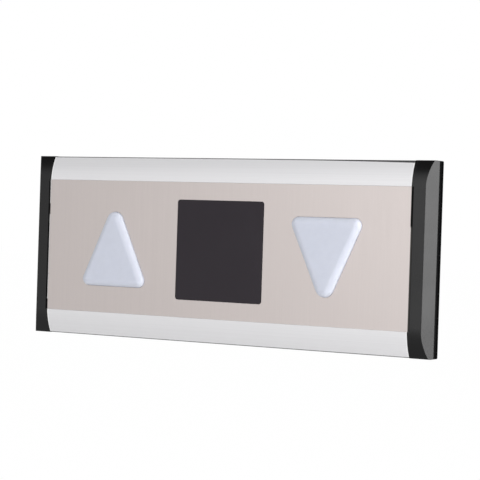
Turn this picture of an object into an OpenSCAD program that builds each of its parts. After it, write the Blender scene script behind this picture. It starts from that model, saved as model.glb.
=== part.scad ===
// Elevator floor indicator for a landing wall: an aluminium section with a sliding
// faceplate, a dot-matrix window, two lit arrows, plastic end caps and a hooked wall plate.
// Millimetres. X runs to the right seen from the front, Y runs back to the wall, Z is up.
// The origin is the centre of the wall plate's rear face.

/* [Housing] */
// Width across both end caps
overall_w = 300; // [290:1:360]
// Height of the end caps
overall_h = 120; // [118:0.5:124]
// Depth from the wall to the front of the rails
overall_d = 14.2; // [14:0.2:22]
// Gap left between the rear rim of the housing and the wall
wall_gap = 0.8; // [0.5:0.1:1]

/* [Aluminium section] */
// Height of a rail, from the end cap's edge to the faceplate
rail_h = 16.1; // [15:0.1:17]
// Radius of the rails' curved front
rail_r = 38; // [34:1:46]
// Height of the curved front that lies behind the line of the lips
arc_lead = 2.2; // [1.5:0.1:3]
// How far the end caps stand above the rails
rail_drop = 0.2; // [0.1:0.1:0.6]
// Wall of the rails
rail_wall = 1.6; // [1.2:0.1:1.8]
// Thickness of the lip over the faceplate
lip_t = 0.75; // [0.6:0.05:1]
// Depth of the groove that holds the faceplate's edge
groove_d = 3.3; // [2.5:0.1:3.6]
// Wall between the groove and the hollow of the rail
inner_wall = 1.2; // [1:0.1:1.5]
// Thickness of the rear web
web_t = 1.2; // [1:0.1:1.6]
// Radius of the rails' outer edges
rail_edge_r = 1; // [0.5:0.1:1.5]
// Radius of the lips' front edges
lip_edge_r = 0.35; // [0.2:0.05:0.4]

/* [Faceplate] */
// Thickness of the faceplate
face_t = 1; // [0.8:0.1:1.2]
// Play of the faceplate's edge in its groove
face_play = 0.1; // [0.05:0.05:0.15]
// Play of the faceplate's ends and its long edges
face_end_play = 0.3; // [0.2:0.1:0.6]

/* [Display window] */
// How far the window reaches past the dot-matrix module on each side
window_margin = 2.4; // [1.5:0.1:3]
// Corner radius of the display window
window_r = 1.8; // [1:0.1:3]
// Play between a lens and its opening in the faceplate
lens_play = 0.15; // [0.1:0.05:0.2]
// Thickness of the flange behind each lens
flange_t = 1.5; // [1.2:0.1:1.8]
// How far each lens's flange reaches behind the faceplate
flange_w = 2.5; // [2:0.1:2.8]

/* [Arrows] */
// Width of an arrow's base, measured to its sharp corners
arrow_b = 54; // [50:0.2:56]
// Height of an arrow, measured to its sharp tip
arrow_h = 58.6; // [55:0.2:60]
// Radius of the two corners at an arrow's base
arrow_r = 4.6; // [4.4:0.1:6]
// Radius of an arrow's tip
arrow_tip_r = 6.5; // [4.4:0.1:7.5]
// How far both arrows lie to the right of the middle, or to the left where it is negative
arrow_shift = -1.9; // [-2.4:0.1:0]
// Height of the up arrow's base
up_base_z = -26.3; // [-27:0.1:-25]
// Height of the down arrow's base
down_base_z = 23.7; // [22:0.1:25]
// How far the arrow lenses stand out of the faceplate
lens_rise = 3.6; // [2.4:0.1:4.4]
// Width of the bevel round each arrow lens
lens_bevel = 4.2; // [2.4:0.1:4.2]
// Height of the upright edge below the bevel
lens_side = 0.5; // [0.3:0.1:0.8]
// Roundness of the bevel: 1 is a flat bevel and 2 is a quarter ellipse
lens_roundness = 1.7; // [1.1:0.1:2]
// Wall of the light boxes behind the arrows
light_box_wall = 1.2; // [1:0.1:1.6]

/* [End caps] */
// Width of an end cap that shows beside the faceplate
cap_w = 13.6; // [13:0.1:18]
// How far the bevel runs in from the cap's outer side
bevel_run = 5.5; // [4:0.1:7]
// How far the bevel reaches back from the front
bevel_d = 7.5; // [6:0.1:8]
// Wall of the end caps
cap_wall = 2; // [1.9:0.1:2.4]
// Length of the plugs that hold a cap in the rails
plug_l = 14; // [10:0.5:18]
// Gap between a cap and the ends of the rails
cap_gap = 0.3; // [0.2:0.1:0.5]
// Clearance round the plugs
plug_play = 0.25; // [0.2:0.05:0.3]
// Thickness of the rear rim behind the groove
rim_t = 2; // [1.5:0.1:2.4]
// Width of the groove in front of the rear rim
shadow_w = 1.2; // [0.8:0.1:1.5]
// Depth of the groove in front of the rear rim
shadow_d = 0.7; // [0.4:0.1:1]

/* [Wall plate] */
// Thickness of the wall plate
plate_t = 1.5; // [1.2:0.1:1.6]
// How far the plate's ends stay back from the rails' ends, as a share of the room beside the boards
plate_share = 0.4; // [0.35:0.01:0.41]
// Distance from the top and bottom of the housing to the plate's long edges
plate_inset_z = 12; // [11:0.5:14]
// Gap between the wall plate and the housing's web
hang_gap = 0.3; // [0.2:0.1:0.4]
// Distance of each hook's middle from the boards, as a share of the same room
hook_place = 0.23; // [0.18:0.01:0.25]
// Width of a hook, as a share of the same room
hook_share = 0.58; // [0.45:0.01:0.6]
// Height that a hook's lip rises in front of the web
hook_lip = 6; // [5:0.5:6]
// Height at which the upper hooks carry the housing
upper_hook_z = 26; // [24:0.5:30]
// Height at which the lower hooks carry the housing
lower_hook_z = -34; // [-35:0.5:-32]
// Pitch of the two slots over a wall box
box_pitch = 60.3; // [60:0.1:61]
// Length of the slots over a wall box
box_slot_l = 8; // [6:0.5:9]
// Pitch of the four wall slots across
wall_pitch_x = 160; // [156:1:162]
// Pitch of the four wall slots up and down
wall_pitch_z = 66; // [64:0.5:67]
// Length of the four wall slots
wall_slot_l = 12; // [8:0.5:12]
// Width of all six slots
slot_w = 4.5; // [4.2:0.1:5]
// Width of the cable opening
cable_w = 44; // [36:1:46]
// Height of the cable opening
cable_h = 56; // [48:1:58]

/* [Boards] */
// Thickness of the circuit boards
board_t = 1.2; // [1:0.1:1.6]
// How far the display board reaches past its module at each side
board_margin_x = 15; // [14:0.5:16]
// How far the display board reaches past its module above and below
board_margin_z = 9; // [8:0.5:10]
// Distance of the display board's studs from its edges
stud_inset = 4; // [3.8:0.1:4.4]
// Width of the dot-matrix module
matrix_w = 60; // [58:0.5:62]
// Dots along each side of the module
matrix_n = 8; // [5:1:10]
// Diameter of a dot
dot_d = 5; // [3:0.1:5.4]
// How far an arrow board reaches past its arrow at each side
arrow_margin = 4.1; // [3.5:0.1:4.6]
// Gap between the display board and an arrow board
board_gap = 3.5; // [3:0.1:4]
// Diameter of the studs behind the faceplate
stud_d = 3; // [2.5:0.5:3]
// Thickness of the washers on the studs
washer_t = 0.5; // [0.3:0.1:0.6]
// Thickness of the nuts on the studs
nut_t = 1.6; // [1.4:0.1:1.8]
// Width across the flats of those nuts
nut_af = 5.5; // [5:0.1:6]
// Distance of an arrow's studs from its middle line
arrow_stud_x = 20; // [18:0.5:22]
// How far an arrow's outer studs lie back from its sharp tip
tip_stud_drop = 16.6; // [15:0.2:18]
// How far an arrow's inner studs lie behind its base
base_stud_drop = 8.3; // [7.5:0.1:9]
// Travel of each address switch
dip_travel = 1.5; // [1:0.1:1.6]
// Travel of the setup button
button_travel = 0.4; // [0.2:0.05:0.5]

/* [Hidden] */
$fn = 64;
slack = 0.05;
// A rounding circle is this much larger than its radius, so that it crosses the sides it meets
crossing = 1.001;

// Planes from the front to the wall
front_y = -overall_d;
rim_y = -wall_gap;
groove_front_y = front_y + lip_t;
face_y = groove_front_y + face_play;
face_back_y = face_y + face_t;
groove_back_y = face_back_y + face_play;
ledge_t = 1.2;
ledge_back_y = groove_back_y + ledge_t;
flange_back_y = face_back_y + flange_t;
plate_front_y = -plate_t;
web_back_y = plate_front_y - hang_gap;
web_y = web_back_y - web_t;
stud_gap = 0.15;
stud_proud = 0.2;
stud_tip_y = web_y - stud_gap;
nut_back_y = stud_tip_y - stud_proud;
board_back_y = nut_back_y - nut_t - washer_t;
board_y = board_back_y - board_t;

// Heights and places across the front
cap_half_h = overall_h / 2;
rail_half_h = cap_half_h - rail_drop;
lip_z = cap_half_h - rail_h;
arc_z = lip_z - arc_lead;
inner_z = lip_z + groove_d;
section_w = overall_w - 2 * cap_w;
face_w = section_w - 2 * face_end_play;
face_h = 2 * (inner_z - face_end_play);
arc_centre = [front_y + rail_r, arc_z];
window_w = matrix_w + 2 * window_margin;
display_board_w = matrix_w + 2 * board_margin_x;
display_board_h = matrix_w + 2 * board_margin_z;
arrow_board_w = arrow_b + 2 * arrow_margin;
arrow_x = display_board_w / 2 + board_gap + arrow_board_w / 2;
up_x = arrow_shift - arrow_x;
down_x = arrow_shift + arrow_x;
board_end = arrow_board_w / 2 - up_x;
end_room = section_w / 2 - board_end;
plate_w = section_w - 2 * plate_share * end_room;
plate_h = overall_h - 2 * plate_inset_z;
hook_w = hook_share * end_room;
hook_x = board_end + hook_place * end_room;

// Arrow outline
base_angle = atan(2 * arrow_h / arrow_b);
tip_angle = 90 - base_angle;
arrow_centres = [
    [-arrow_b / 2 + arrow_r / tan(base_angle / 2), arrow_r],
    [arrow_b / 2 - arrow_r / tan(base_angle / 2), arrow_r],
    [0, arrow_h - arrow_tip_r / sin(tip_angle)]
];
arrow_radii = [arrow_r, arrow_r, arrow_tip_r];
boss_d = stud_d + 3.4;
arrow_stud_z = [arrow_h - tip_stud_drop, -base_stud_drop];
arrow_studs = [for (z = arrow_stud_z) for (s = [-1, 1]) [s * arrow_stud_x, z]];
board_lip = 2;
flange_tip_z = arrow_centres[2][1] + arrow_tip_r + flange_w;
arrow_board_z = [arrow_stud_z[1] - boss_d / 2 - board_lip, flange_tip_z + board_lip];

// Studs of the display board
display_stud_x = display_board_w / 2 - stud_inset;
display_stud_z = display_board_h / 2 - stud_inset;
stud_hole_d = stud_d + 0.4;
washer_d = stud_d + 3.6;

// Hooks and the openings that the web has for them
hook_back_y = web_y - hang_gap;
hook_front_y = hook_back_y - plate_t;
lift = hook_lip + 2;
hook_rest_gap = 0.2;
hook_side_play = 1;
screw_head_d = 8;
web_window_w = 72;
web_window_top = cable_h / 2 + 2;
web_window_bottom = -(cable_h / 2 + lift);

// Colours
aluminium = "#d3d5d7";
steel = "#cdbfb8";
zinc = "#aeb4ba";
black_plastic = "#242427";
opal = "#e6ebf5";
smoked = "#2b282b";
board_green = "#1f6b45";
white_plastic = "#f2f2ee";

function unit(v) = v / norm(v);
function turn(u, v) = u[0] * v[1] - u[1] * v[0];

// Draws its children in the Y-Z plane and extrudes them from x0 to x1
module along_x(x0, x1) {
    translate([x0, 0, 0])
        rotate([90, 0, 90])
            linear_extrude(x1 - x0)
                children();
}

// Draws its children in the X-Z plane and extrudes them from y0 to y1
module along_y(y0, y1) {
    translate([0, y1, 0])
        rotate([90, 0, 0])
            linear_extrude(y1 - y0)
                children();
}

// Draws its children in the X-Y plane and extrudes them from z0 to z1
module along_z(z0, z1) {
    translate([0, 0, z0])
        linear_extrude(z1 - z0)
            children();
}

// Round bar along Y
module bar_y(d, y0, y1) {
    along_y(y0, y1)
        circle(d = d);
}

// Fillet piece at one corner of a polygon, cut off an outer corner or added to an inner one
module fillet(points, r, i, outer) {
    n = len(points);
    p = points[i];
    u = unit(points[(i + n - 1) % n] - p);
    v = unit(points[(i + 1) % n] - p);
    if (r > 0 && (turn(v, u) > 0) == outer) {
        half = acos(u * v) / 2;
        reach = r / tan(half);
        middle = unit(u + v);
        difference() {
            polygon([p + u * reach, p - middle * slack, p + v * reach]);
            translate(p + middle * r / sin(half))
                circle(r * crossing);
        }
    }
}

// Polygon, drawn anticlockwise, with each corner rounded to its own radius
module rounded(points, radii) {
    last = len(points) - 1;
    difference() {
        union() {
            polygon(points);
            for (i = [0 : last])
                fillet(points, radii[i], i, false);
        }
        for (i = [0 : last])
            fillet(points, radii[i], i, true);
    }
}

// Rectangle between two corners with equal corner radii
module rounded_box(low, high, r) {
    rounded(
        [low, [high[0], low[1]], high, [low[0], high[1]]],
        [r, r, r, r]
    );
}

// Rounded rectangle about a centre
module plate_outline(w, h, r) {
    rounded_box([-w / 2, -h / 2], [w / 2, h / 2], r);
}

// Slot with round ends, running along the first axis
module slot_outline(l, w) {
    square([l - w, w], center = true);
    for (s = [-1, 1])
        translate([s * (l - w) / 2, 0])
            circle(d = w);
}

// Waste at an edge where the curved front meets a level face at height z.
// side is 1 where the metal lies below that face and -1 where it lies above it.
module arc_edge_waste(z, r, side) {
    reach = rail_r - r;
    cz = z - side * r;
    cy = arc_centre[0] - sqrt(reach * reach - pow(cz - arc_z, 2));
    c = [cy, cz];
    out = unit(c - arc_centre);
    corner_y = arc_centre[0] - sqrt(rail_r * rail_r - pow(z - arc_z, 2));
    margin = r;
    difference() {
        polygon([
            c,
            c + out * (r + margin),
            [corner_y - margin, z + side * margin],
            [cy, z + side * margin]
        ]);
        translate(c)
            circle(r * crossing);
    }
}

// Mirrors its children to the lower rail as well
module both_rails() {
    children();
    mirror([0, 1])
        children();
}

// Outline of the rails and caps in the Y-Z plane: flat in the middle, curved at both edges
module silhouette(half_h, back_y, inset) {
    intersection() {
        translate([front_y + inset, -half_h + inset])
            square([back_y - front_y - 2 * inset, 2 * (half_h - inset)]);
        union() {
            translate([front_y + inset, -arc_z])
                square([overall_d, 2 * arc_z]);
            both_rails()
                translate(arc_centre)
                    circle(rail_r - inset, $fn = 180);
        }
    }
}

// Hollow of one rail, which takes the plugs of the end caps
module rail_hollow(inset) {
    low = inner_z + inner_wall + inset;
    high = rail_half_h - rail_wall - inset;
    intersection() {
        translate([front_y, low])
            square([web_y - inset - front_y, high - low]);
        translate(arc_centre)
            circle(rail_r - rail_wall - inset, $fn = 180);
    }
}

// Cross-section of the aluminium body
module body_section() {
    difference() {
        silhouette(rail_half_h, rim_y, 0);
        translate([front_y - slack, -lip_z])
            square([web_y - front_y + slack, 2 * lip_z]);
        translate([groove_front_y, -inner_z])
            square([groove_back_y - groove_front_y, 2 * inner_z]);
        translate([ledge_back_y, -inner_z])
            square([web_y - ledge_back_y, 2 * inner_z]);
        translate([web_back_y, -rail_half_h + rail_wall])
            square([rim_y - web_back_y + slack, 2 * (rail_half_h - rail_wall)]);
        both_rails() {
            rail_hollow(0);
            arc_edge_waste(rail_half_h, rail_edge_r, 1);
            arc_edge_waste(lip_z, lip_edge_r, -1);
        }
    }
}

module body_extrusion() {
    color(aluminium)
        difference() {
            along_x(-section_w / 2, section_w / 2)
                body_section();
            along_y(web_y - hang_gap, web_back_y + hang_gap)
                web_openings();
        }
}

// Openings machined in the web: the wiring window, the hook slots and the screw clearances
module web_openings() {
    head_w = screw_head_d + wall_slot_l - slot_w + 1;
    rounded_box(
        [-web_window_w / 2, web_window_bottom],
        [web_window_w / 2, web_window_top],
        3
    );
    for (s = [-1, 1]) {
        for (z = [lower_hook_z, upper_hook_z])
            rounded_box(
                [s * hook_x - hook_w / 2 - hook_side_play, z - plate_t - lift - hook_rest_gap],
                [s * hook_x + hook_w / 2 + hook_side_play, z + hook_rest_gap],
                0.8
            );
        for (t = [-1, 1])
            rounded_box(
                [
                    s * wall_pitch_x / 2 - head_w / 2,
                    t * wall_pitch_z / 2 - screw_head_d / 2 - lift - 1
                ],
                [
                    s * wall_pitch_x / 2 + head_w / 2,
                    t * wall_pitch_z / 2 + screw_head_d / 2 + 1
                ],
                4
            );
    }
}

// Outline of an arrow in the X-Z plane, base at height 0 and tip up, grown outwards
module arrow_outline(grow) {
    side = arrow_b / 2 + grow / tan(base_angle / 2);
    rounded(
        [[-side, -grow], [side, -grow], [0, arrow_h + grow / sin(tip_angle)]],
        [for (r = arrow_radii) r + grow]
    );
}

// Puts its children at the up arrow
module at_up_arrow() {
    translate([up_x, 0, up_base_z])
        children();
}

// Puts its children at the down arrow, upside down
module at_down_arrow() {
    translate([down_x, 0, down_base_z])
        mirror([0, 0, 1])
            children();
}

module faceplate() {
    color(steel)
        difference() {
            along_y(face_y, face_back_y) {
                difference() {
                    square([face_w, face_h], center = true);
                    plate_outline(
                        window_w + 2 * lens_play,
                        window_w + 2 * lens_play,
                        window_r + lens_play
                    );
                }
            }
            at_up_arrow()
                along_y(face_y - 1, face_back_y + 1)
                    arrow_outline(lens_play);
            at_down_arrow()
                along_y(face_y - 1, face_back_y + 1)
                    arrow_outline(lens_play);
        }
}

// Puts its children at each stud of the display board
module at_display_studs() {
    for (sx = [-1, 1])
        for (sz = [-1, 1])
            translate([sx * display_stud_x, 0, sz * display_stud_z])
                children();
}

// Puts its children at each stud of one arrow
module at_arrow_studs() {
    for (p = arrow_studs)
        translate([p[0], 0, p[1]])
            children();
}

// Puts its children at all twelve studs
module at_all_studs() {
    at_display_studs()
        children();
    at_up_arrow()
        at_arrow_studs()
            children();
    at_down_arrow()
        at_arrow_studs()
            children();
}

module faceplate_studs() {
    tip = 0.4;
    color(zinc)
        at_all_studs() {
            bar_y(stud_d, face_back_y, stud_tip_y - tip);
            translate([0, stud_tip_y - tip, 0])
                rotate([-90, 0, 0])
                    cylinder(h = tip, d1 = stud_d, d2 = stud_d - 2 * tip);
        }
}

module stud_washers() {
    color(zinc)
        at_all_studs()
            along_y(board_back_y, board_back_y + washer_t)
                difference() {
                    circle(d = washer_d);
                    circle(d = stud_d + 0.2);
                }
}

module stud_nuts() {
    color(zinc)
        at_all_studs()
            along_y(board_back_y + washer_t, nut_back_y)
                difference() {
                    circle(d = nut_af / cos(30), $fn = 6);
                    circle(d = stud_d + 0.1);
                }
}

module board_spacers() {
    color(white_plastic)
        at_display_studs()
            along_y(face_back_y, board_y)
                difference() {
                    circle(d = boss_d);
                    circle(d = stud_hole_d);
                }
}

module window_lens() {
    front = face_y + face_play;
    color(smoked) {
        along_y(front, face_back_y)
            plate_outline(window_w, window_w, window_r);
        along_y(face_back_y, flange_back_y)
            plate_outline(window_w + 2 * flange_w, window_w + 2 * flange_w, window_r + flange_w);
    }
}

// Half profile of an arrow lens's corner: an upright edge, then a soft bevel
function lens_profile(r) = concat(
    [[0, 0], [r, 0]],
    [
        for (t = [0 : 10 : 90])
            [
                r - lens_bevel * (1 - pow(cos(t), 2 / lens_roundness)),
                lens_side + (lens_rise - lens_side) * pow(sin(t), 2 / lens_roundness)
            ]
    ],
    [[0, lens_rise]]
);

// Arrow lens with its base at height 0: bevelled front, flange and hollow rear
module arrow_lens() {
    recess_d = 0.8;
    recess_inset = 2.4;
    color(opal)
        difference() {
            union() {
                hull()
                    for (i = [0 : 2])
                        translate([arrow_centres[i][0], face_y, arrow_centres[i][1]])
                            rotate([90, 0, 0])
                                rotate_extrude($fn = 36)
                                    polygon(lens_profile(arrow_radii[i]));
                along_y(face_y, face_back_y)
                    arrow_outline(0);
                along_y(face_back_y, flange_back_y)
                    arrow_outline(flange_w);
            }
            along_y(face_y - recess_d, flange_back_y + 1)
                arrow_outline(-recess_inset);
        }
}

module up_arrow_lens() {
    at_up_arrow()
        arrow_lens();
}

module down_arrow_lens() {
    at_down_arrow()
        arrow_lens();
}

// Open triangular box between an arrow lens and its board, with four bosses for the studs
module light_box() {
    rib_t = 2;
    color(white_plastic)
        difference() {
            union() {
                along_y(flange_back_y, board_y)
                    union() {
                        arrow_outline(flange_w);
                        for (s = [-1, 1]) {
                            translate([s * arrow_stud_x / 2, arrow_stud_z[0]])
                                square([arrow_stud_x, rib_t], center = true);
                            translate([s * arrow_stud_x, arrow_stud_z[1] / 2])
                                square([rib_t, -arrow_stud_z[1]], center = true);
                        }
                    }
                at_arrow_studs()
                    bar_y(boss_d, face_back_y, board_y);
            }
            along_y(flange_back_y - 1, board_y + 1)
                arrow_outline(flange_w - light_box_wall);
            at_arrow_studs()
                bar_y(stud_hole_d, face_back_y - 1, board_y + 1);
        }
}

module up_light_box() {
    at_up_arrow()
        light_box();
}

module down_light_box() {
    at_down_arrow()
        light_box();
}

module arrow_board() {
    color(board_green)
        along_y(board_y, board_back_y)
            difference() {
                rounded_box(
                    [-arrow_board_w / 2, arrow_board_z[0]],
                    [arrow_board_w / 2, arrow_board_z[1]],
                    2
                );
                for (p = arrow_studs)
                    translate(p)
                        circle(d = stud_hole_d);
            }
}

module up_arrow_board() {
    at_up_arrow()
        arrow_board();
}

module down_arrow_board() {
    at_down_arrow()
        arrow_board();
}

// Surface-mounted lamps in rows that follow the arrow
module arrow_leds() {
    led = [3.5, 1.6, 2.8];
    pitch_x = 9;
    pitch_z = 10;
    rows = 4;
    color(white_plastic)
        for (row = [0 : rows - 1])
            for (i = [0 : rows - row])
                translate([(i - (rows - row) / 2) * pitch_x, board_y, 8 + row * pitch_z]) {
                    translate([-led[0] / 2, -led[1] / 2, -led[2] / 2])
                        cube([led[0], led[1] / 2, led[2]]);
                    bar_y(led[2] - 0.4, -led[1], -led[1] / 2);
                }
}

module up_arrow_leds() {
    at_up_arrow()
        arrow_leds();
}

module down_arrow_leds() {
    at_down_arrow()
        arrow_leds();
}

// Pins of the dot-matrix module: two rows across the board
pin_pitch = 2.54;
pins_per_row = 12;
pin_d = 0.6;
pin_row_z = matrix_w / 2 - 4;
module at_matrix_pins() {
    for (s = [-1, 1])
        for (i = [0 : pins_per_row - 1])
            translate([(i - (pins_per_row - 1) / 2) * pin_pitch, 0, s * pin_row_z])
                children();
}

module display_board() {
    color(board_green)
        difference() {
            along_y(board_y, board_back_y)
                plate_outline(display_board_w, display_board_h, 2);
            at_display_studs()
                bar_y(stud_hole_d, board_y - 1, board_back_y + 1);
            at_matrix_pins()
                bar_y(pin_d + 0.3, board_y - 1, board_back_y + 1);
        }
}

// Black frame that holds the window lens and keeps stray light off the module
module matrix_surround() {
    outer = window_w + 2 * flange_w;
    inner = matrix_w + 0.6;
    color(black_plastic)
        along_y(flange_back_y, board_y)
            difference() {
                plate_outline(outer, outer, window_r + flange_w);
                square(inner, center = true);
            }
}

dot_t = 0.6;
matrix_y = flange_back_y + 0.2;
dot_pitch = matrix_w / matrix_n;
module at_dots() {
    for (i = [0 : matrix_n - 1])
        for (j = [0 : matrix_n - 1])
            translate([
                (i - (matrix_n - 1) / 2) * dot_pitch,
                0,
                (j - (matrix_n - 1) / 2) * dot_pitch
            ])
                children();
}

module led_matrix() {
    color(black_plastic)
        difference() {
            along_y(matrix_y, board_y)
                plate_outline(matrix_w, matrix_w, 0.6);
            at_dots()
                bar_y(dot_d, matrix_y - 1, matrix_y + dot_t);
        }
}

module matrix_dots() {
    color("#c9b8b0")
        at_dots()
            bar_y(dot_d - 0.1, matrix_y, matrix_y + dot_t);
}

module matrix_pins() {
    color(zinc)
        at_matrix_pins()
            bar_y(pin_d, board_y, board_back_y + 0.8);
}

// Flat ribbon from the display board to the near end of an arrow board, arched over the gap
ribbon_w = 10;
ribbon_t = 0.5;
ribbon_arch = 1.2;
module link_ribbon(end) {
    start = display_board_w / 2;
    foot = 5;
    y0 = board_back_y;
    y1 = y0 + ribbon_t;
    y2 = y0 + ribbon_arch;
    y3 = y2 + ribbon_t;
    color("#9fa3a8")
        along_z(-ribbon_w / 2, ribbon_w / 2)
            polygon([
                [start - foot, y0], [start - 1, y0], [start, y2], [end, y2],
                [end + 1, y0], [end + foot, y0], [end + foot, y1], [end + 1.2, y1],
                [end + 0.2, y3], [start - 0.2, y3], [start - 1.2, y1], [start - foot, y1]
            ]);
}

module right_link_ribbon() {
    link_ribbon(down_x - arrow_board_w / 2);
}

module left_link_ribbon() {
    mirror([1, 0, 0])
        link_ribbon(-up_x - arrow_board_w / 2);
}

// Parts on the rear of the display board, given by their centre, width and height
controller_at = [-9, 14];
controller_size = 10;
chip_t = 1.4;
driver_at = [[10, 19], [10, 8]];
driver_size = [10.3, 6];
lead_t = 0.25;
lead_w = 0.4;
lead_l = 1.2;

// Moulded chip body with bevelled long edges
module chip(at, w, h) {
    bevel = 0.25;
    foot = lead_t;
    translate([at[0], 0, at[1]]) {
        along_y(board_back_y + foot, board_back_y + chip_t - bevel)
            plate_outline(w, h, 0.2);
        along_y(board_back_y + chip_t - bevel, board_back_y + chip_t)
            plate_outline(w - 2 * bevel, h - 2 * bevel, 0.2);
    }
}

// Row of leads along X on both sides of a chip
module lead_rows(at, h, count, pitch) {
    for (s = [-1, 1])
        for (i = [0 : count - 1])
            translate([
                at[0] + (i - (count - 1) / 2) * pitch - lead_w / 2,
                board_back_y,
                at[1] + s * (h / 2 + lead_l / 2 - 0.4) - lead_l / 2
            ])
                cube([lead_w, lead_t, lead_l]);
}

module controller_chip() {
    color("#1c1c1f")
        chip(controller_at, controller_size, controller_size);
}

module controller_leads() {
    color(zinc) {
        lead_rows(controller_at, controller_size, 8, 1);
        translate([controller_at[0], 0, controller_at[1]])
            rotate([0, 90, 0])
                lead_rows([0, 0], controller_size, 8, 1);
    }
}

module driver_chips() {
    color("#1c1c1f")
        for (at = driver_at)
            chip(at, driver_size[0], driver_size[1]);
}

module driver_leads() {
    color(zinc)
        for (at = driver_at)
            lead_rows(at, driver_size[1], 8, 1.27);
}

// Four-way wiring header whose mouth faces up, towards the cable opening
header_at = [-11, -9];
header_size = [12, 4, 8];
header_wall = 0.8;
header_pitch = 2.5;
header_pins = 4;
module wiring_header() {
    mouth = [
        header_size[0] - 2 * header_wall,
        header_size[1] - 2 * header_wall,
        header_size[2] - 2 * header_wall
    ];
    color(white_plastic)
        translate([header_at[0], board_back_y, header_at[1]])
            difference() {
                translate([-header_size[0] / 2, 0, -header_size[2] / 2])
                    cube(header_size);
                translate([-mouth[0] / 2, header_wall, -header_size[2] / 2 + 2 * header_wall])
                    cube([mouth[0], mouth[1], header_size[2]]);
                for (s = [-1, 1])
                    translate([s * header_pitch - 0.6, header_size[1] - header_wall - slack, 0])
                        cube([1.2, header_wall + 1, header_size[2]]);
                for (i = [0 : header_pins - 1])
                    translate([
                        (i - (header_pins - 1) / 2) * header_pitch - 0.35,
                        header_size[1] / 2 - 0.35,
                        -header_size[2] / 2 - 1
                    ])
                        cube([0.7, 0.7, header_size[2]]);
            }
}

module wiring_pins() {
    side = 0.5;
    tail = 1.2;
    color("#d8c27a")
        for (i = [0 : header_pins - 1])
            translate([
                header_at[0] + (i - (header_pins - 1) / 2) * header_pitch - side / 2,
                board_back_y,
                header_at[1] - header_size[2] / 2
            ]) {
                translate([0, header_size[1] / 2 - side / 2, -tail])
                    cube([side, side, header_size[2] + tail - 1]);
                translate([0, 0, -tail])
                    cube([side, header_size[1] / 2 + side / 2, side]);
            }
}

low_row_z = 6 - pin_row_z;
capacitor_at = [[-17, low_row_z], [-10, low_row_z]];
capacitor_d = 5;
capacitor_h = 3;
module smoothing_capacitors() {
    base = 0.6;
    color("#b8bcc2")
        for (at = capacitor_at)
            translate([at[0], board_back_y, at[1]]) {
                translate([-capacitor_d / 2 - 0.2, 0, -capacitor_d / 2 - 0.2])
                    cube([capacitor_d + 0.4, base, capacitor_d + 0.4]);
                bar_y(capacitor_d, base, capacitor_h);
            }
}

regulator_at = [-1.6, low_row_z];
module voltage_regulator() {
    color("#1c1c1f")
        translate([regulator_at[0], board_back_y, regulator_at[1]]) {
            translate([-3.3, 0.1, -3])
                cube([6.6, 2.2, 6]);
            translate([-2.7, 0, 3])
                cube([5.4, 0.5, 1.2]);
        }
}

// Address switch: four sliders in one case
dip_at = [5, -9];
dip_case = [6.4, 2.6, 10.6];
dip_n = 4;
dip_pitch = 2.54;
dip_slider = [1.6, 1.7, 1.2];
dip_play = 0.1;
dip_floor = 1;
function dip_z(i) = dip_at[1] + (i - (dip_n + 1) / 2) * dip_pitch;

module dip_switch_case() {
    window = [dip_slider[0] + dip_travel + 2 * dip_play, dip_slider[2] + 2 * dip_play];
    color("#2a4f9e")
        difference() {
            translate([dip_at[0] - dip_case[0] / 2, board_back_y, dip_at[1] - dip_case[2] / 2])
                cube(dip_case);
            for (i = [1 : dip_n])
                translate([
                    dip_at[0] - window[0] / 2,
                    board_back_y + dip_floor - dip_play,
                    dip_z(i) - window[1] / 2
                ])
                    cube([window[0], dip_case[1], window[1]]);
        }
}

// One slider, at the left end of its window
module dip_slider(i) {
    color(white_plastic)
        translate([
            dip_at[0] - (dip_slider[0] + dip_travel) / 2,
            board_back_y + dip_floor,
            dip_z(i) - dip_slider[2] / 2
        ])
            cube([dip_slider[0], dip_case[1] - dip_floor + 0.6, dip_slider[2]]);
}

module dip_slider_1() {
    dip_slider(1);
}

module dip_slider_2() {
    dip_slider(2);
}

module dip_slider_3() {
    dip_slider(3);
}

module dip_slider_4() {
    dip_slider(4);
}

// Setup button on the rear of the display board
button_at = [15, -9];
button_case = [6, 2, 6];
button_d = 2.6;
button_play = 0.08;
button_floor = 0.8;
button_proud = 0.8;
module setup_button_case() {
    color("#1c1c1f")
        translate([button_at[0], board_back_y, button_at[1]])
            difference() {
                translate([-button_case[0] / 2, 0, -button_case[2] / 2])
                    cube(button_case);
                bar_y(button_d + 2 * button_play, button_floor, button_case[1] + 1);
            }
}

module setup_button_plunger() {
    color("#c8462f")
        translate([button_at[0], board_back_y, button_at[1]])
            bar_y(button_d, button_floor + button_travel + 0.1, button_case[1] + button_proud);
}

// Plan of an end cap in the X-Y plane, for the right-hand cap
bevel_l = norm([bevel_run, bevel_d]);
cap_x = section_w / 2 + cap_gap;
cap_out_x = overall_w / 2;
module cap_plan() {
    rounded(
        [
            [cap_x, front_y],
            [cap_out_x - bevel_run, front_y],
            [cap_out_x, front_y + bevel_d],
            [cap_out_x, rim_y],
            [cap_x, rim_y]
        ],
        [0, 0.5, 1, 0.6, 0]
    );
}

// The cap's solid form: rail outline, plan and rounded outer corners together
module cap_form() {
    corner_r = 1.3;
    intersection() {
        along_x(cap_x, cap_out_x)
            difference() {
                silhouette(cap_half_h, rim_y, 0);
                both_rails()
                    arc_edge_waste(cap_half_h, rail_edge_r, 1);
            }
        along_z(-cap_half_h - 1, cap_half_h + 1)
            cap_plan();
        along_y(front_y - 1, 0)
            rounded(
                [
                    [cap_x - 1, -cap_half_h],
                    [cap_out_x, -cap_half_h],
                    [cap_out_x, cap_half_h],
                    [cap_x - 1, cap_half_h]
                ],
                [0, corner_r, corner_r, 0]
            );
    }
}

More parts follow.
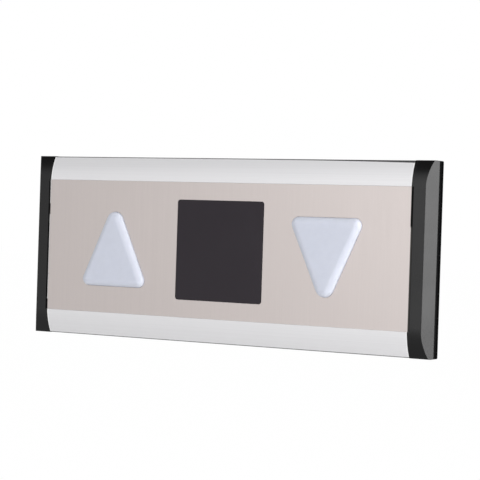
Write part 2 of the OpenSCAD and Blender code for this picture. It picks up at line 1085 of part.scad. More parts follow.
// Hollow of a cap, open towards the rails
module cap_hollow() {
    along = [bevel_run, bevel_d] / bevel_l;
    start = [cap_out_x - bevel_run, front_y] + cap_wall * [-bevel_d, bevel_run] / bevel_l;
    front = start + along * cap_wall * (bevel_l - bevel_run) / bevel_d;
    side = start + along * (cap_out_x - cap_wall - start[0]) / along[0];
    intersection() {
        along_x(cap_x - 1, cap_out_x)
            silhouette(cap_half_h, rim_y, cap_wall);
        along_z(-cap_half_h, cap_half_h)
            polygon([
                [cap_x - 1, front_y + cap_wall],
                front,
                side,
                [cap_out_x - cap_wall, rim_y - cap_wall],
                [cap_x - 1, rim_y - cap_wall]
            ]);
    }
}

// Plugs that push into the hollows of both rails, with chamfered tips
module cap_plugs() {
    tip = 1;
    tip_x = cap_x - plug_l;
    low = inner_z + inner_wall;
    difference() {
        intersection() {
            along_x(tip_x, cap_x + slack)
                both_rails()
                    rail_hollow(plug_play);
            along_z(-cap_half_h, cap_half_h)
                polygon([
                    [tip_x, front_y + 2 * tip],
                    [tip_x + 2 * tip, front_y],
                    [cap_x + 1, front_y],
                    [cap_x + 1, web_y],
                    [tip_x + tip, web_y],
                    [tip_x, web_y - tip]
                ]);
        }
        along_x(tip_x - 1, cap_x + 1)
            both_rails()
                rail_hollow(plug_play + cap_wall);
        along_x(tip_x - 1, tip_x + 0.5)
            both_rails()
                translate([front_y, low])
                    square([overall_d, plug_play + 0.5]);
    }
}

// Right-hand end cap: bevelled shell, inner ribs and plugs
module end_cap() {
    rib_t = 1.6;
    rib_pitch = 24;
    color(black_plastic)
        difference() {
            union() {
                difference() {
                    cap_form();
                    cap_hollow();
                }
                intersection() {
                    cap_form();
                    union() {
                        for (i = [-1 : 1])
                            along_z(i * rib_pitch - rib_t / 2, i * rib_pitch + rib_t / 2)
                                translate([cap_x, front_y])
                                    square([cap_w, overall_d]);
                        along_x(cap_x, cap_out_x)
                            both_rails()
                                difference() {
                                    rail_hollow(plug_play);
                                    rail_hollow(plug_play + cap_wall);
                                }
                    }
                }
                cap_plugs();
            }
            along_z(-cap_half_h - 1, cap_half_h + 1)
                translate([cap_out_x - shadow_d, rim_y - rim_t - shadow_w])
                    square([shadow_d + 1, shadow_w]);
        }
}

module right_end_cap() {
    end_cap();
}

module left_end_cap() {
    mirror([1, 0, 0])
        end_cap();
}

// Hook lanced out of the wall plate, in the Y-Z plane, carrying the housing at height z
module hook_profile(z) {
    bend = 0.3;
    rounded(
        [
            [0, z - plate_t - 1],
            [0, z],
            [hook_back_y, z],
            [hook_back_y, z + hook_lip],
            [hook_front_y, z + hook_lip],
            [hook_front_y, z - plate_t],
            [plate_front_y, z - plate_t],
            [plate_front_y, z - plate_t - 1]
        ],
        [0, plate_t - 0.1, bend, 0.4, 0.8, plate_t + bend, bend, 0]
    );
}

// Wall slots of the plate, in the X-Z plane
module wall_slots() {
    for (s = [-1, 1]) {
        translate([s * box_pitch / 2, 0])
            slot_outline(box_slot_l, slot_w);
        for (t = [-1, 1])
            translate([s * wall_pitch_x / 2, t * wall_pitch_z / 2])
                slot_outline(wall_slot_l, slot_w);
    }
}

module wall_plate() {
    relief = 0.6;
    color(zinc) {
        along_y(plate_front_y, 0)
            difference() {
                plate_outline(plate_w, plate_h, 4);
                plate_outline(cable_w, cable_h, 3);
                wall_slots();
                for (s = [-1, 1])
                    for (z = [lower_hook_z, upper_hook_z])
                        translate([s * hook_x - hook_w / 2 - relief, z])
                            square([hook_w + 2 * relief, hook_lip + plate_t]);
            }
        for (s = [-1, 1])
            for (z = [lower_hook_z, upper_hook_z])
                along_x(s * hook_x - hook_w / 2, s * hook_x + hook_w / 2)
                    hook_profile(z);
    }
}

// Earth stud on the wall plate, beside the cable opening
earth_at = [-29, -22];
earth_d = 4;
earth_l = 2.8;
earth_washer_t = 0.5;
earth_nut_t = 1.6;
module at_earth() {
    translate([earth_at[0], plate_front_y, earth_at[1]])
        children();
}

module earth_stud() {
    color(zinc)
        at_earth()
            bar_y(earth_d, -earth_l, 0);
}

module earth_washer() {
    color(zinc)
        at_earth()
            along_y(-earth_washer_t, 0)
                difference() {
                    circle(d = earth_d + 3);
                    circle(d = earth_d + 0.2);
                }
}

module earth_nut() {
    color("#c9b458")
        at_earth()
            along_y(-earth_washer_t - earth_nut_t, -earth_washer_t)
                difference() {
                    circle(d = (earth_d + 3) / cos(30), $fn = 6);
                    circle(d = earth_d + 0.1);
                }
}

wall_plate();
earth_stud();
earth_washer();
earth_nut();
body_extrusion();
faceplate();
faceplate_studs();
window_lens();
up_arrow_lens();
down_arrow_lens();
up_light_box();
down_light_box();
up_arrow_board();
down_arrow_board();
up_arrow_leds();
down_arrow_leds();
display_board();
board_spacers();
matrix_surround();
led_matrix();
matrix_dots();
matrix_pins();
stud_washers();
stud_nuts();
left_link_ribbon();
right_link_ribbon();
controller_chip();
controller_leads();
driver_chips();
driver_leads();
wiring_header();
wiring_pins();
smoothing_capacitors();
voltage_regulator();
dip_switch_case();
dip_slider_1();
dip_slider_2();
dip_slider_3();
dip_slider_4();
setup_button_case();
setup_button_plunger();
left_end_cap();
right_end_cap();
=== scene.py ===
"""Looks of an elevator floor indicator: finishes for its solids, smooth arrow lenses and board detail."""

import math

import bpy
import numpy as np
from mathutils import Matrix, Vector


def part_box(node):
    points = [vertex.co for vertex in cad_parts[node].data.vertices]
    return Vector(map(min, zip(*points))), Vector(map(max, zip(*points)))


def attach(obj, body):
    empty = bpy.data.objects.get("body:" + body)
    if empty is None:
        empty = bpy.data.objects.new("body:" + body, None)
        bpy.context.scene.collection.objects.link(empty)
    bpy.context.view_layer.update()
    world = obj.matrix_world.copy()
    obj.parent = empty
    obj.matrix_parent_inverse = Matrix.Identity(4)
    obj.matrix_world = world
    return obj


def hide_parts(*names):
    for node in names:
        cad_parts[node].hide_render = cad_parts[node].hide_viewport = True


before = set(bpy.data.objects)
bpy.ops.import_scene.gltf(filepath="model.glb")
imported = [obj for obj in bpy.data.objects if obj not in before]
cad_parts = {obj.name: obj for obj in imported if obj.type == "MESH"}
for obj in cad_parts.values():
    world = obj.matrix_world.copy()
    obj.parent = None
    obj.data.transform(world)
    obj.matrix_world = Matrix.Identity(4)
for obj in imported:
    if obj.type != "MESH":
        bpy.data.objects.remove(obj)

bl_info = {
    "name": "Floor indicator looks",
    "version": (1, 0, 0),
    "blender": (4, 5, 0),
    "location": "3D View > Sidebar > Indicator",
    "description": "Finishes, arrow lenses and board detail for an elevator floor indicator",
    "category": "Object",
}

MM = 0.001
X, Y, Z = range(3)


# Settings


def length(name, description, default):
    """A length in metres"""
    return bpy.props.FloatProperty(name=name, description=description, default=default, unit="LENGTH")


def angle(name, description, degrees):
    """An angle, whose default is given in degrees"""
    return bpy.props.FloatProperty(
        name=name, description=description, default=math.radians(degrees), unit="ROTATION"
    )


def number(name, description, default, **limits):
    """A plain number"""
    return bpy.props.FloatProperty(name=name, description=description, default=default, **limits)


def paint(name, description, default):
    """A colour"""
    return bpy.props.FloatVectorProperty(
        name=name, description=description, subtype="COLOR", size=3, default=default
    )


class IndicatorSizes(bpy.types.PropertyGroup):
    """Sizes of the pieces that are made here, in metres"""

    arrow_base: length("Arrow base", "Base of an arrow to its sharp corners", 0.054)
    arrow_height: length("Arrow height", "Height of an arrow to its sharp tip", 0.0586)
    arrow_corner: length("Arrow corner", "Radius of the two corners at the base", 0.0046)
    arrow_tip: length("Arrow tip", "Radius of the tip", 0.0065)
    lens_bevel: length("Lens bevel", "Width of the bevel round a lens", 0.0045)
    lens_side: length("Lens side", "Upright edge below the bevel", 0.0005)
    lens_roundness: number("Lens roundness", "1 is a flat bevel, 2 a quarter ellipse", 1.8, min=1, max=2)
    flange_width: length("Flange width", "Reach of a lens's flange past its outline", 0.0025)
    rail_radius: length("Rail radius", "Radius of the rails' curved front", 0.038)
    rail_height: length("Rail height", "Height of a rail, from the cap's edge", 0.0161)
    rail_lead: length("Rail lead", "Height of the curve behind the lips' line", 0.0022)
    rail_edge: length("Rail edge", "Radius of the rails' outer edges", 0.001)
    cap_lip: length("Cap lip", "How far a cap laps over the rails", 0.0015)


class IndicatorColours(bpy.types.PropertyGroup):
    """Colours of the main finishes"""

    faceplate: paint("Faceplate", "Brushed warm steel", (0.626, 0.569, 0.552))
    aluminium: paint("Aluminium", "Satin anodised section", (0.77, 0.765, 0.78))
    caps: paint("End caps", "Black satin moulding", (0.0035, 0.0035, 0.0038))
    lenses: paint("Arrow lenses", "Opal acrylic", (0.636, 0.664, 0.762))
    window: paint("Window", "Smoked acrylic", (0.0075, 0.0025, 0.008))
    boards: paint("Boards", "Solder mask", (0.010, 0.115, 0.045))
    zinc: paint("Zinc", "Galvanised sheet", (0.60, 0.62, 0.64))


class StageSettings(bpy.types.PropertyGroup):
    """Camera and light"""

    azimuth: angle("Azimuth", "Camera's turn to the right of the front", 31.0)
    elevation: angle("Elevation", "Camera's height above level", 0.58)
    roll: angle("Roll", "Camera's turn about its own axis", 1.85)
    distance: length("Distance", "Camera's distance", 1.150)
    aim: bpy.props.FloatVectorProperty(
        name="Aim",
        description="Sideways and upward shift of the camera",
        size=2,
        default=(0.01367, 0.00765),
        unit="LENGTH",
    )
    lens: number("Lens", "Focal length in millimetres on a 36 mm sensor", 134.55)
    front: length("Front plane", "Depth of the front plane that the camera turns about", 0.0142)
    floor_drop: length("Floor drop", "Height of the floor below the object's middle", 0.30)
    surround: number("Surround", "Brightness of the room for matt surfaces", 0.62)


def sizes():
    """The scene's sizes"""
    return bpy.context.scene.indicator_sizes


def size(name):
    """One of the scene's lengths, in millimetres"""
    return getattr(sizes(), name) / MM


def colours():
    """The scene's colours"""
    return bpy.context.scene.indicator_colours


def corners(node):
    """The low and the high corner of a solid's box, in millimetres"""
    return tuple(np.array(corner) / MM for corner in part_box(node))


# Finishes


class Nodes:
    """A node tree while it is wired"""

    def __init__(self, tree):
        self.tree = tree

    def feed(self, socket, value):
        """Links a socket, or sets its value, and gives a colour full alpha"""
        if isinstance(value, bpy.types.NodeSocket):
            self.tree.links.new(value, socket)
        elif socket.type == "RGBA":
            socket.default_value = (*tuple(value)[:3], 1.0)
        else:
            socket.default_value = value

    def add(self, kind, inputs=(), **settings):
        """Adds a node, sets it up and feeds its inputs, given as pairs"""
        node = self.tree.nodes.new("ShaderNode" + kind)
        for key, value in settings.items():
            setattr(node, key, value)
        for key, value in inputs:
            self.feed(node.inputs[key], value)
        return node

    def math(self, operation, *values):
        """Arithmetic on one to three numbers"""
        return self.add("Math", list(enumerate(values)), operation=operation).outputs[0]

    def plus(self, first, second):
        """The sum of two numbers"""
        return self.math("ADD", first, second)

    def times(self, first, second):
        """The product of two numbers"""
        return self.math("MULTIPLY", first, second)

    def spread(self, value, low, high, out_low=0.0, out_high=1.0, ease="LINEAR"):
        """Maps low..high to out_low..out_high, clamped"""
        inputs = [
            ("Value", value),
            ("From Min", low),
            ("From Max", high),
            ("To Min", out_low),
            ("To Max", out_high),
        ]
        return self.add("MapRange", inputs, interpolation_type=ease).outputs[0]

    def choose(self, share, low, high):
        """Goes from one number to another as share goes from 0 to 1"""
        return self.add("Mix", [(0, share), (2, low), (3, high)]).outputs[0]

    def blend(self, share, first, second):
        """Goes from one colour to another as share goes from 0 to 1"""
        return self.add("Mix", [(0, share), (6, first), (7, second)], data_type="RGBA").outputs[2]


class Finish(Nodes):
    """One material while it is wired: a Principled shader and the nodes that feed it"""

    def __init__(self, name, colour, roughness, **fixed):
        self.material = bpy.data.materials.new(name)
        self.material.use_nodes = True
        super().__init__(self.material.node_tree)
        self.shader = self.tree.nodes["Principled BSDF"]
        self.base(colour)
        self.rough(roughness)
        for socket, value in fixed.items():
            self.feed(self.shader.inputs[socket.replace("_", " ")], value)

    def place(self, scale=1.0):
        """Object coordinates in millimetres, times one number or three"""
        coords = self.add("TexCoord").outputs["Object"]
        factors = (np.broadcast_to(scale, 3) / MM).tolist()
        return self.add("Mapping", [("Vector", coords), ("Scale", factors)]).outputs["Vector"]

    def noise(self, scale, detail=2.0, roughness=0.5, distortion=0.0):
        """Fractal noise, from 0 to 1, with scale features in a millimetre"""
        inputs = [
            ("Vector", self.place(scale)),
            ("Scale", 1.0),
            ("Detail", detail),
            ("Roughness", roughness),
            ("Distortion", distortion),
        ]
        return self.add("TexNoise", inputs).outputs["Fac"]

    def wave(self, scale, direction):
        """Even waves along one axis, from 0 to 1"""
        inputs = [("Vector", self.place()), ("Scale", scale)]
        return self.add("TexWave", inputs, bands_direction=direction).outputs["Fac"]

    def tint(self, colour, share, amount):
        """A colour that goes darker and lighter by amount as share goes from 0 to 1"""
        low = [c * (1 - amount) for c in tuple(colour)[:3]]
        high = [min(1.0, c * (1 + amount)) for c in tuple(colour)[:3]]
        return self.blend(share, low, high)

    def axis(self, name):
        """One object coordinate in millimetres"""
        return self.add("SeparateXYZ", [("Vector", self.place())]).outputs[name]

    def near_ends(self, half_length, reach):
        """1 within reach of either end of a piece that lies along X, else 0"""
        out = self.math("ABSOLUTE", self.axis("X"))
        return self.spread(out, half_length - reach * 1.2, half_length - reach)

    def facing(self, name):
        """One component of the surface's own direction"""
        normal = self.add("NewGeometry").outputs["Normal"]
        return self.add("SeparateXYZ", [("Vector", normal)]).outputs[name]

    def base(self, value):
        """Feeds the base colour"""
        self.feed(self.shader.inputs["Base Color"], value)

    def rough(self, value):
        """Feeds the roughness"""
        self.feed(self.shader.inputs["Roughness"], value)

    def metal(self, value):
        """Feeds the share of metal"""
        self.feed(self.shader.inputs["Metallic"], value)

    def relief(self, height, depth_mm, strength=0.4):
        """Bump of a given depth in millimetres"""
        inputs = [("Height", height), ("Distance", depth_mm * MM), ("Strength", strength)]
        self.feed(self.shader.inputs["Normal"], self.add("Bump", inputs).outputs["Normal"])


def wear(material, *objects):
    """Gives a material, or the one of that name, to objects as their only one"""
    if isinstance(material, str):
        material = bpy.data.materials[material]
    for piece in objects:
        piece.data.materials.clear()
        piece.data.materials.append(material)


def dress(material, *names):
    """Gives a material to solids of the frame"""
    wear(material, *[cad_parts[name] for name in names])


def brushed_steel():
    """Warm steel: upright brush lines of two widths under a faint cloudiness, a painted highlight along both
    ends broken by painted dark bits, and a painted shadow band at the right end, standing in for the dark
    slit by the cap, which is wider and darker in its upper part"""
    end_highlight_reach, upper_start, upper_full = 0.45, 19.0, 20.0
    painted_shade_width, painted_shade_fade, upper_widening = 1.1, 0.25, 0.3
    c = colours().faceplate
    f = Finish("face_steel_brushed", c, 0.34, Metallic=1.0)
    fine = f.noise((7.0, 1.0, 0.05), 2.0, 0.6)
    wide = f.noise((0.9, 1.0, 0.006), 3.0, 0.6)
    lines = f.plus(f.times(fine, 0.55), f.times(wide, 0.45))
    steel = f.tint(c, f.spread(lines, 0.3, 0.7), 0.035)
    cloud = f.spread(f.noise(0.02), 0.35, 0.65, 0.0, 0.25)
    steel = f.blend(cloud, steel, [part * 0.96 for part in c])
    # Painted highlight along both ends, broken by painted dark bits where the noise is low
    end_highlight_share = f.spread(f.noise((0.0, 0.0, 0.06)), 0.42, 0.45)
    cut = f.blend(end_highlight_share, (0.10, 0.095, 0.09), (0.80, 0.79, 0.78))
    half_length = corners("faceplate")[1][X]
    steel = f.blend(f.near_ends(half_length, end_highlight_reach), steel, cut)
    # Painted shadow band at the right end, in place of the dark slit by the cap; darker and wider in the
    # upper part
    upper = f.spread(f.axis("Z"), upper_start, upper_full)
    shadow = f.blend(upper, (0.05, 0.048, 0.046), (0.006, 0.006, 0.006))
    widened = f.plus(f.axis("X"), f.times(upper, upper_widening))
    painted_shade_start = half_length - painted_shade_width
    painted_shade_mask = f.spread(widened, painted_shade_start, painted_shade_start + painted_shade_fade)
    f.base(f.blend(painted_shade_mask, steel, shadow))
    f.rough(f.spread(lines, 0.25, 0.75, 0.30, 0.42))
    f.relief(lines, 0.012, 0.5)
    return f.material


def drawn_aluminium():
    """Satin anodised section: draw lines along X over the fine grain of the etch, a painted highlight at
    both ends, and a painted dark reflection on the top and bottom edges, which widens to the right along the
    top"""
    end_highlight_length, line_width, reflection_fade = 1.75, 0.65, 0.3
    c = colours().aluminium
    f = Finish("rail_aluminium_satin", c, 0.36, Metallic=0.16)
    high = corners("body_extrusion")[1]
    lines = f.noise((0.004, 5.0, 5.0), 3.0, 0.6)
    grain = f.noise(9.0)
    satin = f.tint(c, f.spread(lines, 0.3, 0.7), 0.03)
    # Painted highlight along both ends
    satin = f.blend(f.near_ends(high[X], end_highlight_length), satin, (0.93, 0.93, 0.93))
    # Painted dark reflection along the top and bottom edges, wider towards the right along the top, kept off
    # the level top and bottom faces
    height = f.axis("Z")
    along = f.math("POWER", f.spread(f.axis("X"), -60, 135), 4)
    wider = f.times(along, f.spread(height, 0, 1))
    outward = f.plus(f.math("ABSOLUTE", height), wider)
    reflection_start = high[Z] - line_width
    line = f.spread(outward, reflection_start, reflection_start + reflection_fade)
    front = f.spread(f.math("ABSOLUTE", f.facing("Z")), 0.94, 0.985, 1.0, 0.0)
    f.base(f.blend(f.times(line, front), satin, (0.07, 0.07, 0.073)))
    f.rough(f.spread(f.plus(lines, grain), 0.7, 1.3, 0.32, 0.44))
    f.relief(f.plus(f.times(lines, 0.6), f.times(grain, 0.4)), 0.01)
    return f.material


def satin_black(name, colour, roughness, grain_mm):
    """Moulded black plastic with a fine even grain and a little smear"""
    f = Finish(name, colour, roughness, IOR=1.43)
    grain = f.noise(1 / grain_mm, 2.0, 0.55)
    smear = f.noise(0.05, 3.0, 0.6)
    f.base(f.tint(colour, f.spread(grain, 0.3, 0.7), 0.12))
    f.rough(f.spread(f.plus(grain, smear), 0.6, 1.4, roughness - 0.05, roughness + 0.06))
    f.relief(grain, 0.02, 0.35)
    return f.material


def opal():
    """Opal acrylic that scatters light, with a slight ripple and specks"""
    c = colours().lenses
    scatter = {"Subsurface_Weight": 0.55, "Subsurface_Scale": 0.005, "Subsurface_Radius": (1.0, 1.0, 1.0)}
    f = Finish("arrow_lens_opal", c, 0.46, IOR=1.49, **scatter)
    ripple = f.noise(0.25)
    speck = f.noise(6.0)
    f.base(f.tint(c, f.spread(f.plus(ripple, speck), 0.7, 1.3), 0.02))
    f.rough(f.spread(speck, 0.3, 0.7, 0.42, 0.50))
    f.relief(f.plus(ripple, f.times(speck, 0.2)), 0.015, 0.5)
    return f.material


def smoked():
    """Smoked acrylic: a near-black gloss with a little dust"""
    c = colours().window
    f = Finish("window_smoked", c, 0.12, IOR=1.45)
    haze = f.noise(0.04, 3.0, 0.55)
    dust = f.noise(5.0, 2.0, 0.7)
    f.base(f.blend(f.spread(dust, 0.62, 0.78, 0.0, 0.3), c, [part * 2.5 for part in c]))
    f.rough(f.spread(haze, 0.3, 0.7, 0.10, 0.17))
    f.relief(haze, 0.02)
    return f.material


def galvanised():
    """Zinc-coated sheet: spangle cells of slightly different greys and a rolled grain"""
    c = colours().zinc
    f = Finish("zinc_spangle", c, 0.42, Metallic=1.0)
    place = f.place(0.28)
    bend = f.add("TexNoise", [("Vector", place), ("Scale", 2.0)]).outputs["Color"]
    bent_place = f.add("VectorMath", [(0, place), (1, bend)]).outputs[0]
    tone = f.add("TexVoronoi", [("Vector", bent_place), ("Scale", 1.0)]).outputs["Color"]
    shade = f.add("SeparateColor", [("Color", tone)]).outputs[0]
    grain = f.noise((0.1, 4.0, 4.0), 3.0, 0.6)
    f.base(f.tint(c, shade, 0.09))
    f.rough(f.spread(f.plus(shade, grain), 0.2, 1.6, 0.34, 0.52))
    f.relief(f.plus(f.times(shade, 0.3), grain), 0.012, 0.35)
    return f.material


def plated(name, colour, roughness=0.3):
    """Plated small hardware: blotches of tone and fine turning grain"""
    f = Finish(name, colour, roughness, Metallic=1.0)
    blotch = f.noise(0.6, 3.0, 0.6)
    grain = f.noise((8.0, 2.0, 8.0), 2.0, 0.6)
    f.base(f.tint(colour, f.spread(blotch, 0.3, 0.7), 0.08))
    f.rough(f.spread(f.plus(blotch, grain), 0.6, 1.4, roughness - 0.06, roughness + 0.1))
    f.relief(grain, 0.01)
    return f.material


def moulded(name, colour, roughness=0.45, grain=6.0, amount=0.04):
    """Moulded plastic: even grain and slight flow marks"""
    f = Finish(name, colour, roughness)
    fine = f.noise(grain)
    flow = f.noise((0.3, 0.3, 0.1), 3.0, 0.6, 0.6)
    f.base(f.tint(colour, f.spread(f.plus(fine, flow), 0.7, 1.3), amount))
    f.rough(f.spread(fine, 0.3, 0.7, roughness - 0.05, roughness + 0.08))
    f.relief(fine, 0.01)
    return f.material


def circuit_board():
    """Green solder mask over laminate, with the bare laminate on the edges"""
    c = colours().boards
    f = Finish("board_green", c, 0.3)
    weave = f.times(f.wave(1.2, "X"), f.wave(1.2, "Z"))
    blotch = f.noise(0.2, 3.0, 0.6)
    mask = f.tint(c, f.spread(f.plus(weave, blotch), 0.4, 1.2), 0.12)
    laminate = f.tint((0.42, 0.36, 0.17), f.noise((2, 9, 2), 3.0), 0.2)
    flat = f.spread(f.math("ABSOLUTE", f.facing("Y")), 0.4, 0.6)
    f.base(f.blend(flat, laminate, mask))
    f.rough(f.spread(blotch, 0.3, 0.7, 0.24, 0.36))
    f.relief(weave, 0.01, 0.3)
    return f.material


def dot_resin():
    """Milky resin of the dots, with a fine grain"""
    c = (0.50, 0.44, 0.42)
    f = Finish("dot_resin", c, 0.35)
    grain = f.noise(3.0)
    f.base(f.tint(c, grain, 0.08))
    f.relief(grain, 0.01)
    return f.material


def ribbon_wires():
    """Grey ribbon insulation, one wire of ten marked red"""
    c = (0.36, 0.37, 0.38)
    f = Finish("ribbon_grey", c, 0.5)
    z = f.axis("Z")
    ridge = f.math("SINE", f.times(z, 2 * math.pi))
    marked = f.spread(z, 3.98, 4.02)
    f.base(f.blend(marked, f.tint(c, f.noise(2.0, 3.0), 0.08), (0.45, 0.03, 0.02)))
    f.relief(ridge, 0.15, 0.7)
    return f.material


def capacitor_can(low_y):
    """Aluminium can on a black base, which ends at a depth of low_y"""
    c = (0.62, 0.64, 0.67)
    f = Finish("capacitor_can", c, 0.3)
    above = f.spread(f.axis("Y"), low_y - 0.02, low_y + 0.02)
    grain = f.noise((0.5, 9.0, 0.5))
    f.base(f.blend(above, (0.02, 0.02, 0.02), f.tint(c, grain, 0.06)))
    f.metal(above)
    f.relief(grain, 0.01)
    return f.material


def regulator_body(tab_z):
    """Black epoxy with a tinned tab at its top, which starts at a height of tab_z"""
    c = (0.015, 0.015, 0.016)
    f = Finish("regulator_body", c, 0.5)
    tab = f.spread(f.axis("Z"), tab_z - 0.02, tab_z + 0.02)
    grain = f.noise(7.0, 2.0, 0.6)
    f.base(f.blend(tab, f.tint(c, grain, 0.3), (0.66, 0.66, 0.65)))
    f.metal(tab)
    f.rough(f.spread(grain, 0.3, 0.7, 0.4, 0.55))
    f.relief(grain, 0.015, 0.5)
    return f.material


def track_mask():
    """Solder mask where it lies over copper: lighter, with soft blotches"""
    c = [part * 2.1 for part in colours().boards]
    f = Finish("track_mask", c, 0.3)
    grain = f.noise(6.0)
    f.base(f.tint(c, f.spread(f.noise(0.5, 3.0, 0.6), 0.3, 0.7), 0.15))
    f.rough(f.spread(grain, 0.3, 0.7, 0.24, 0.36))
    f.relief(grain, 0.006)
    return f.material


def solder():
    """Solder: bright tin with a faint frost and flow marks"""
    c = (0.74, 0.74, 0.73)
    f = Finish("solder_bright", c, 0.22, Metallic=1.0)
    frost = f.noise(5.0, 3.0, 0.6)
    flow = f.noise(1.2)
    f.base(f.tint(c, f.spread(flow, 0.3, 0.7), 0.07))
    f.rough(f.spread(frost, 0.3, 0.7, 0.14, 0.34))
    f.relief(f.plus(frost, flow), 0.012)
    return f.material


def printed_ink():
    """White printing ink with worn pinholes"""
    c = (0.78, 0.78, 0.75)
    f = Finish("board_ink_white", c, 0.55)
    worn = f.noise(4.0, 3.0, 0.6)
    f.base(f.blend(f.spread(worn, 0.60, 0.72), c, [part * 0.72 for part in c]))
    f.rough(f.spread(worn, 0.3, 0.7, 0.48, 0.62))
    f.relief(worn, 0.006)
    return f.material


# Surfaces


def mesh_piece(name, points, faces, smooth_angle=30.0):
    """A mesh object from an array of points and lists of faces, shaded smooth up to an angle"""
    mesh = bpy.data.meshes.new(name)
    mesh.from_pydata(points.tolist(), [], faces)
    mesh.validate()
    mesh.shade_smooth()
    mesh.set_sharp_from_angle(angle=math.radians(smooth_angle))
    piece = bpy.data.objects.new(name, mesh)
    bpy.context.scene.collection.objects.link(piece)
    return piece


def grid_faces(rows, columns, closed, looped=False):
    """Quads between the rows of a grid; closed joins its last column to the first, looped its last row"""
    r = np.arange(rows if looped else rows - 1)[:, None]
    c = np.arange(columns if closed else columns - 1)[None, :]
    here, above = r * columns, (r + 1) % rows * columns
    n = (c + 1) % columns
    return np.stack(np.broadcast_arrays(here + c, here + n, above + n, above + c), -1).reshape(-1, 4)


def volume(points, polygons):
    """Signed volume within polygons of a closed surface: the sum of a . (b x c) / 6 over their fans"""
    fans = points[polygons]
    a, b, c = fans[:, :1], fans[:, 1:-1], fans[:, 2:]
    return float((a * np.cross(b, c)).sum() / 6)


def ringed(x, y, z, looped=False):
    """n closed solids from coordinates that broadcast to rings of points (n, rows, columns): a wall between
    rings that follow each other, and a flat face on the first and the last or, if looped, a wall from the
    last ring to the first. The sign of the volume turns them outwards. Gives points and arrays of faces"""
    rings = np.stack(np.broadcast_arrays(x, y, z), -1)
    rings = rings.reshape(-1, *rings.shape[-3:])
    n, rows, columns = rings.shape[:3]
    each = rows * columns
    points = rings.reshape(-1, 3)
    walls = grid_faces(rows, columns, True, looped)
    first = np.arange(columns)
    ends = np.stack([first[::-1], first + each - columns])[: 0 if looped else 2]
    if volume(points[:each], walls) + volume(points[:each], ends) < 0:
        walls, ends = walls[:, ::-1], ends[:, ::-1]
    shift = (np.arange(n) * each)[:, None, None]
    return points, [(walls + shift).reshape(-1, 4), (ends + shift).reshape(-1, columns)]


def joined(name, parts, material, slot, smooth_angle=40.0, body="housing", instead_of=None):
    """One piece of several surfaces in millimetres, which moves with a body and may stand for a solid"""
    points, faces, count = [], [], 0
    for some_points, some_faces in parts:
        points.append(some_points)
        for block in some_faces:
            faces.extend((block + count).tolist())
        count += len(some_points)
    piece = mesh_piece(name, np.concatenate(points) * MM, faces, smooth_angle)
    wear(material, piece)
    if instead_of:
        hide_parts(instead_of)
    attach(piece, body)


def middles(centres):
    """The coordinates of n centres, each shaped (n, 1, 1) to meet rings"""
    return np.moveaxis(np.array(centres, float), 1, 0)[..., None, None]


def around(sides, squareness=1.0, start=0.0):
    """Cosine and sine of even steps round a circle, each its sign times its size to the power squareness"""
    a = start + np.linspace(0, 2 * math.pi, sides, endpoint=False)
    both = np.stack([np.cos(a), np.sin(a)])
    return np.sign(both) * np.abs(both) ** squareness


def mounds(centres, half_x, half_z, profile, squareness=1.0, sides=16):
    """Raised spots: centre + (half_x * g * C, rise, half_z * g * S) for each pair (g, rise) of the profile,
    C and S being what around gives"""
    x, y, z = middles(centres)
    cosine, sine = around(sides, squareness)
    g, rise = np.array(profile).T[..., None]
    return ringed(x + half_x * g * cosine, y + rise, z + half_z * g * sine)


def bars(centres, stations, half_width, half_height, sides=20):
    """Soft-edged bars along Z: a superellipse of the half sizes less an inset, carried through stations of
    (distance, inset)"""
    squareness = 0.3
    x, y, z = middles(centres)
    cosine, sine = around(sides, squareness, math.pi / sides)
    distance, inset = np.array(stations).T[..., None]
    return ringed(x + (half_width - inset) * cosine, y + (half_height - inset) * sine, z + distance)


def crosswise(runs):
    """Unit directions across runs (..., 2): each turned a quarter and divided by its length"""
    runs = runs / np.linalg.norm(runs, axis=-1, keepdims=True)
    return np.stack([-runs[..., 1], runs[..., 0]], -1)


def tracks(routes, width, rise, depth):
    """Flat strips along routes of points (n, k, 2) in X and Z. At each point p the edges lie at
    p -/+ m * width / 2, m = (n1 + n2) / (1 + n1 . n2) being the mitre of the directions across the two runs
    that meet there"""
    routes = np.array(routes, dtype=float)
    across = crosswise(np.diff(routes, axis=1))
    before = np.concatenate([across[:, :1], across], 1)
    after = np.concatenate([across, across[:, -1:]], 1)
    mitre = (before + after) / (1 + (before * after).sum(-1, keepdims=True))
    side = width * np.array([-0.5, -0.42, 0.42, 0.5])
    lift = rise * np.array([0, 1, 1, 0])
    flat = routes[:, :, None] + mitre[:, :, None] * side[:, None]
    return ringed(flat[..., 0], depth + lift, flat[..., 1])


def threads(centres, low, high, diameter, pitch):
    """Threaded rods along Y from low to high: r = R - D / 2 * (1 - cos(2 pi u)), with
    u = y / pitch - a / (2 pi) and D = 0.6 pitch, and no more than the distance to either end plus 0.7 R"""
    rows_per_turn, sides = 6, 24
    thread_depth, end_radius = 0.6 * pitch, 0.35 * diameter
    x, z = middles(centres)
    a = np.linspace(0, 2 * math.pi, sides, endpoint=False)
    y = np.linspace(low, high, int((high - low) / pitch * rows_per_turn) + 2)[:, None]
    u = y / pitch - a / (2 * math.pi)
    r = diameter / 2 - thread_depth / 2 * (1 - np.cos(2 * math.pi * u))
    r = np.minimum(r, end_radius + np.minimum(y - low, high - y))
    return ringed(x + r * np.cos(a), y, z + r * np.sin(a))


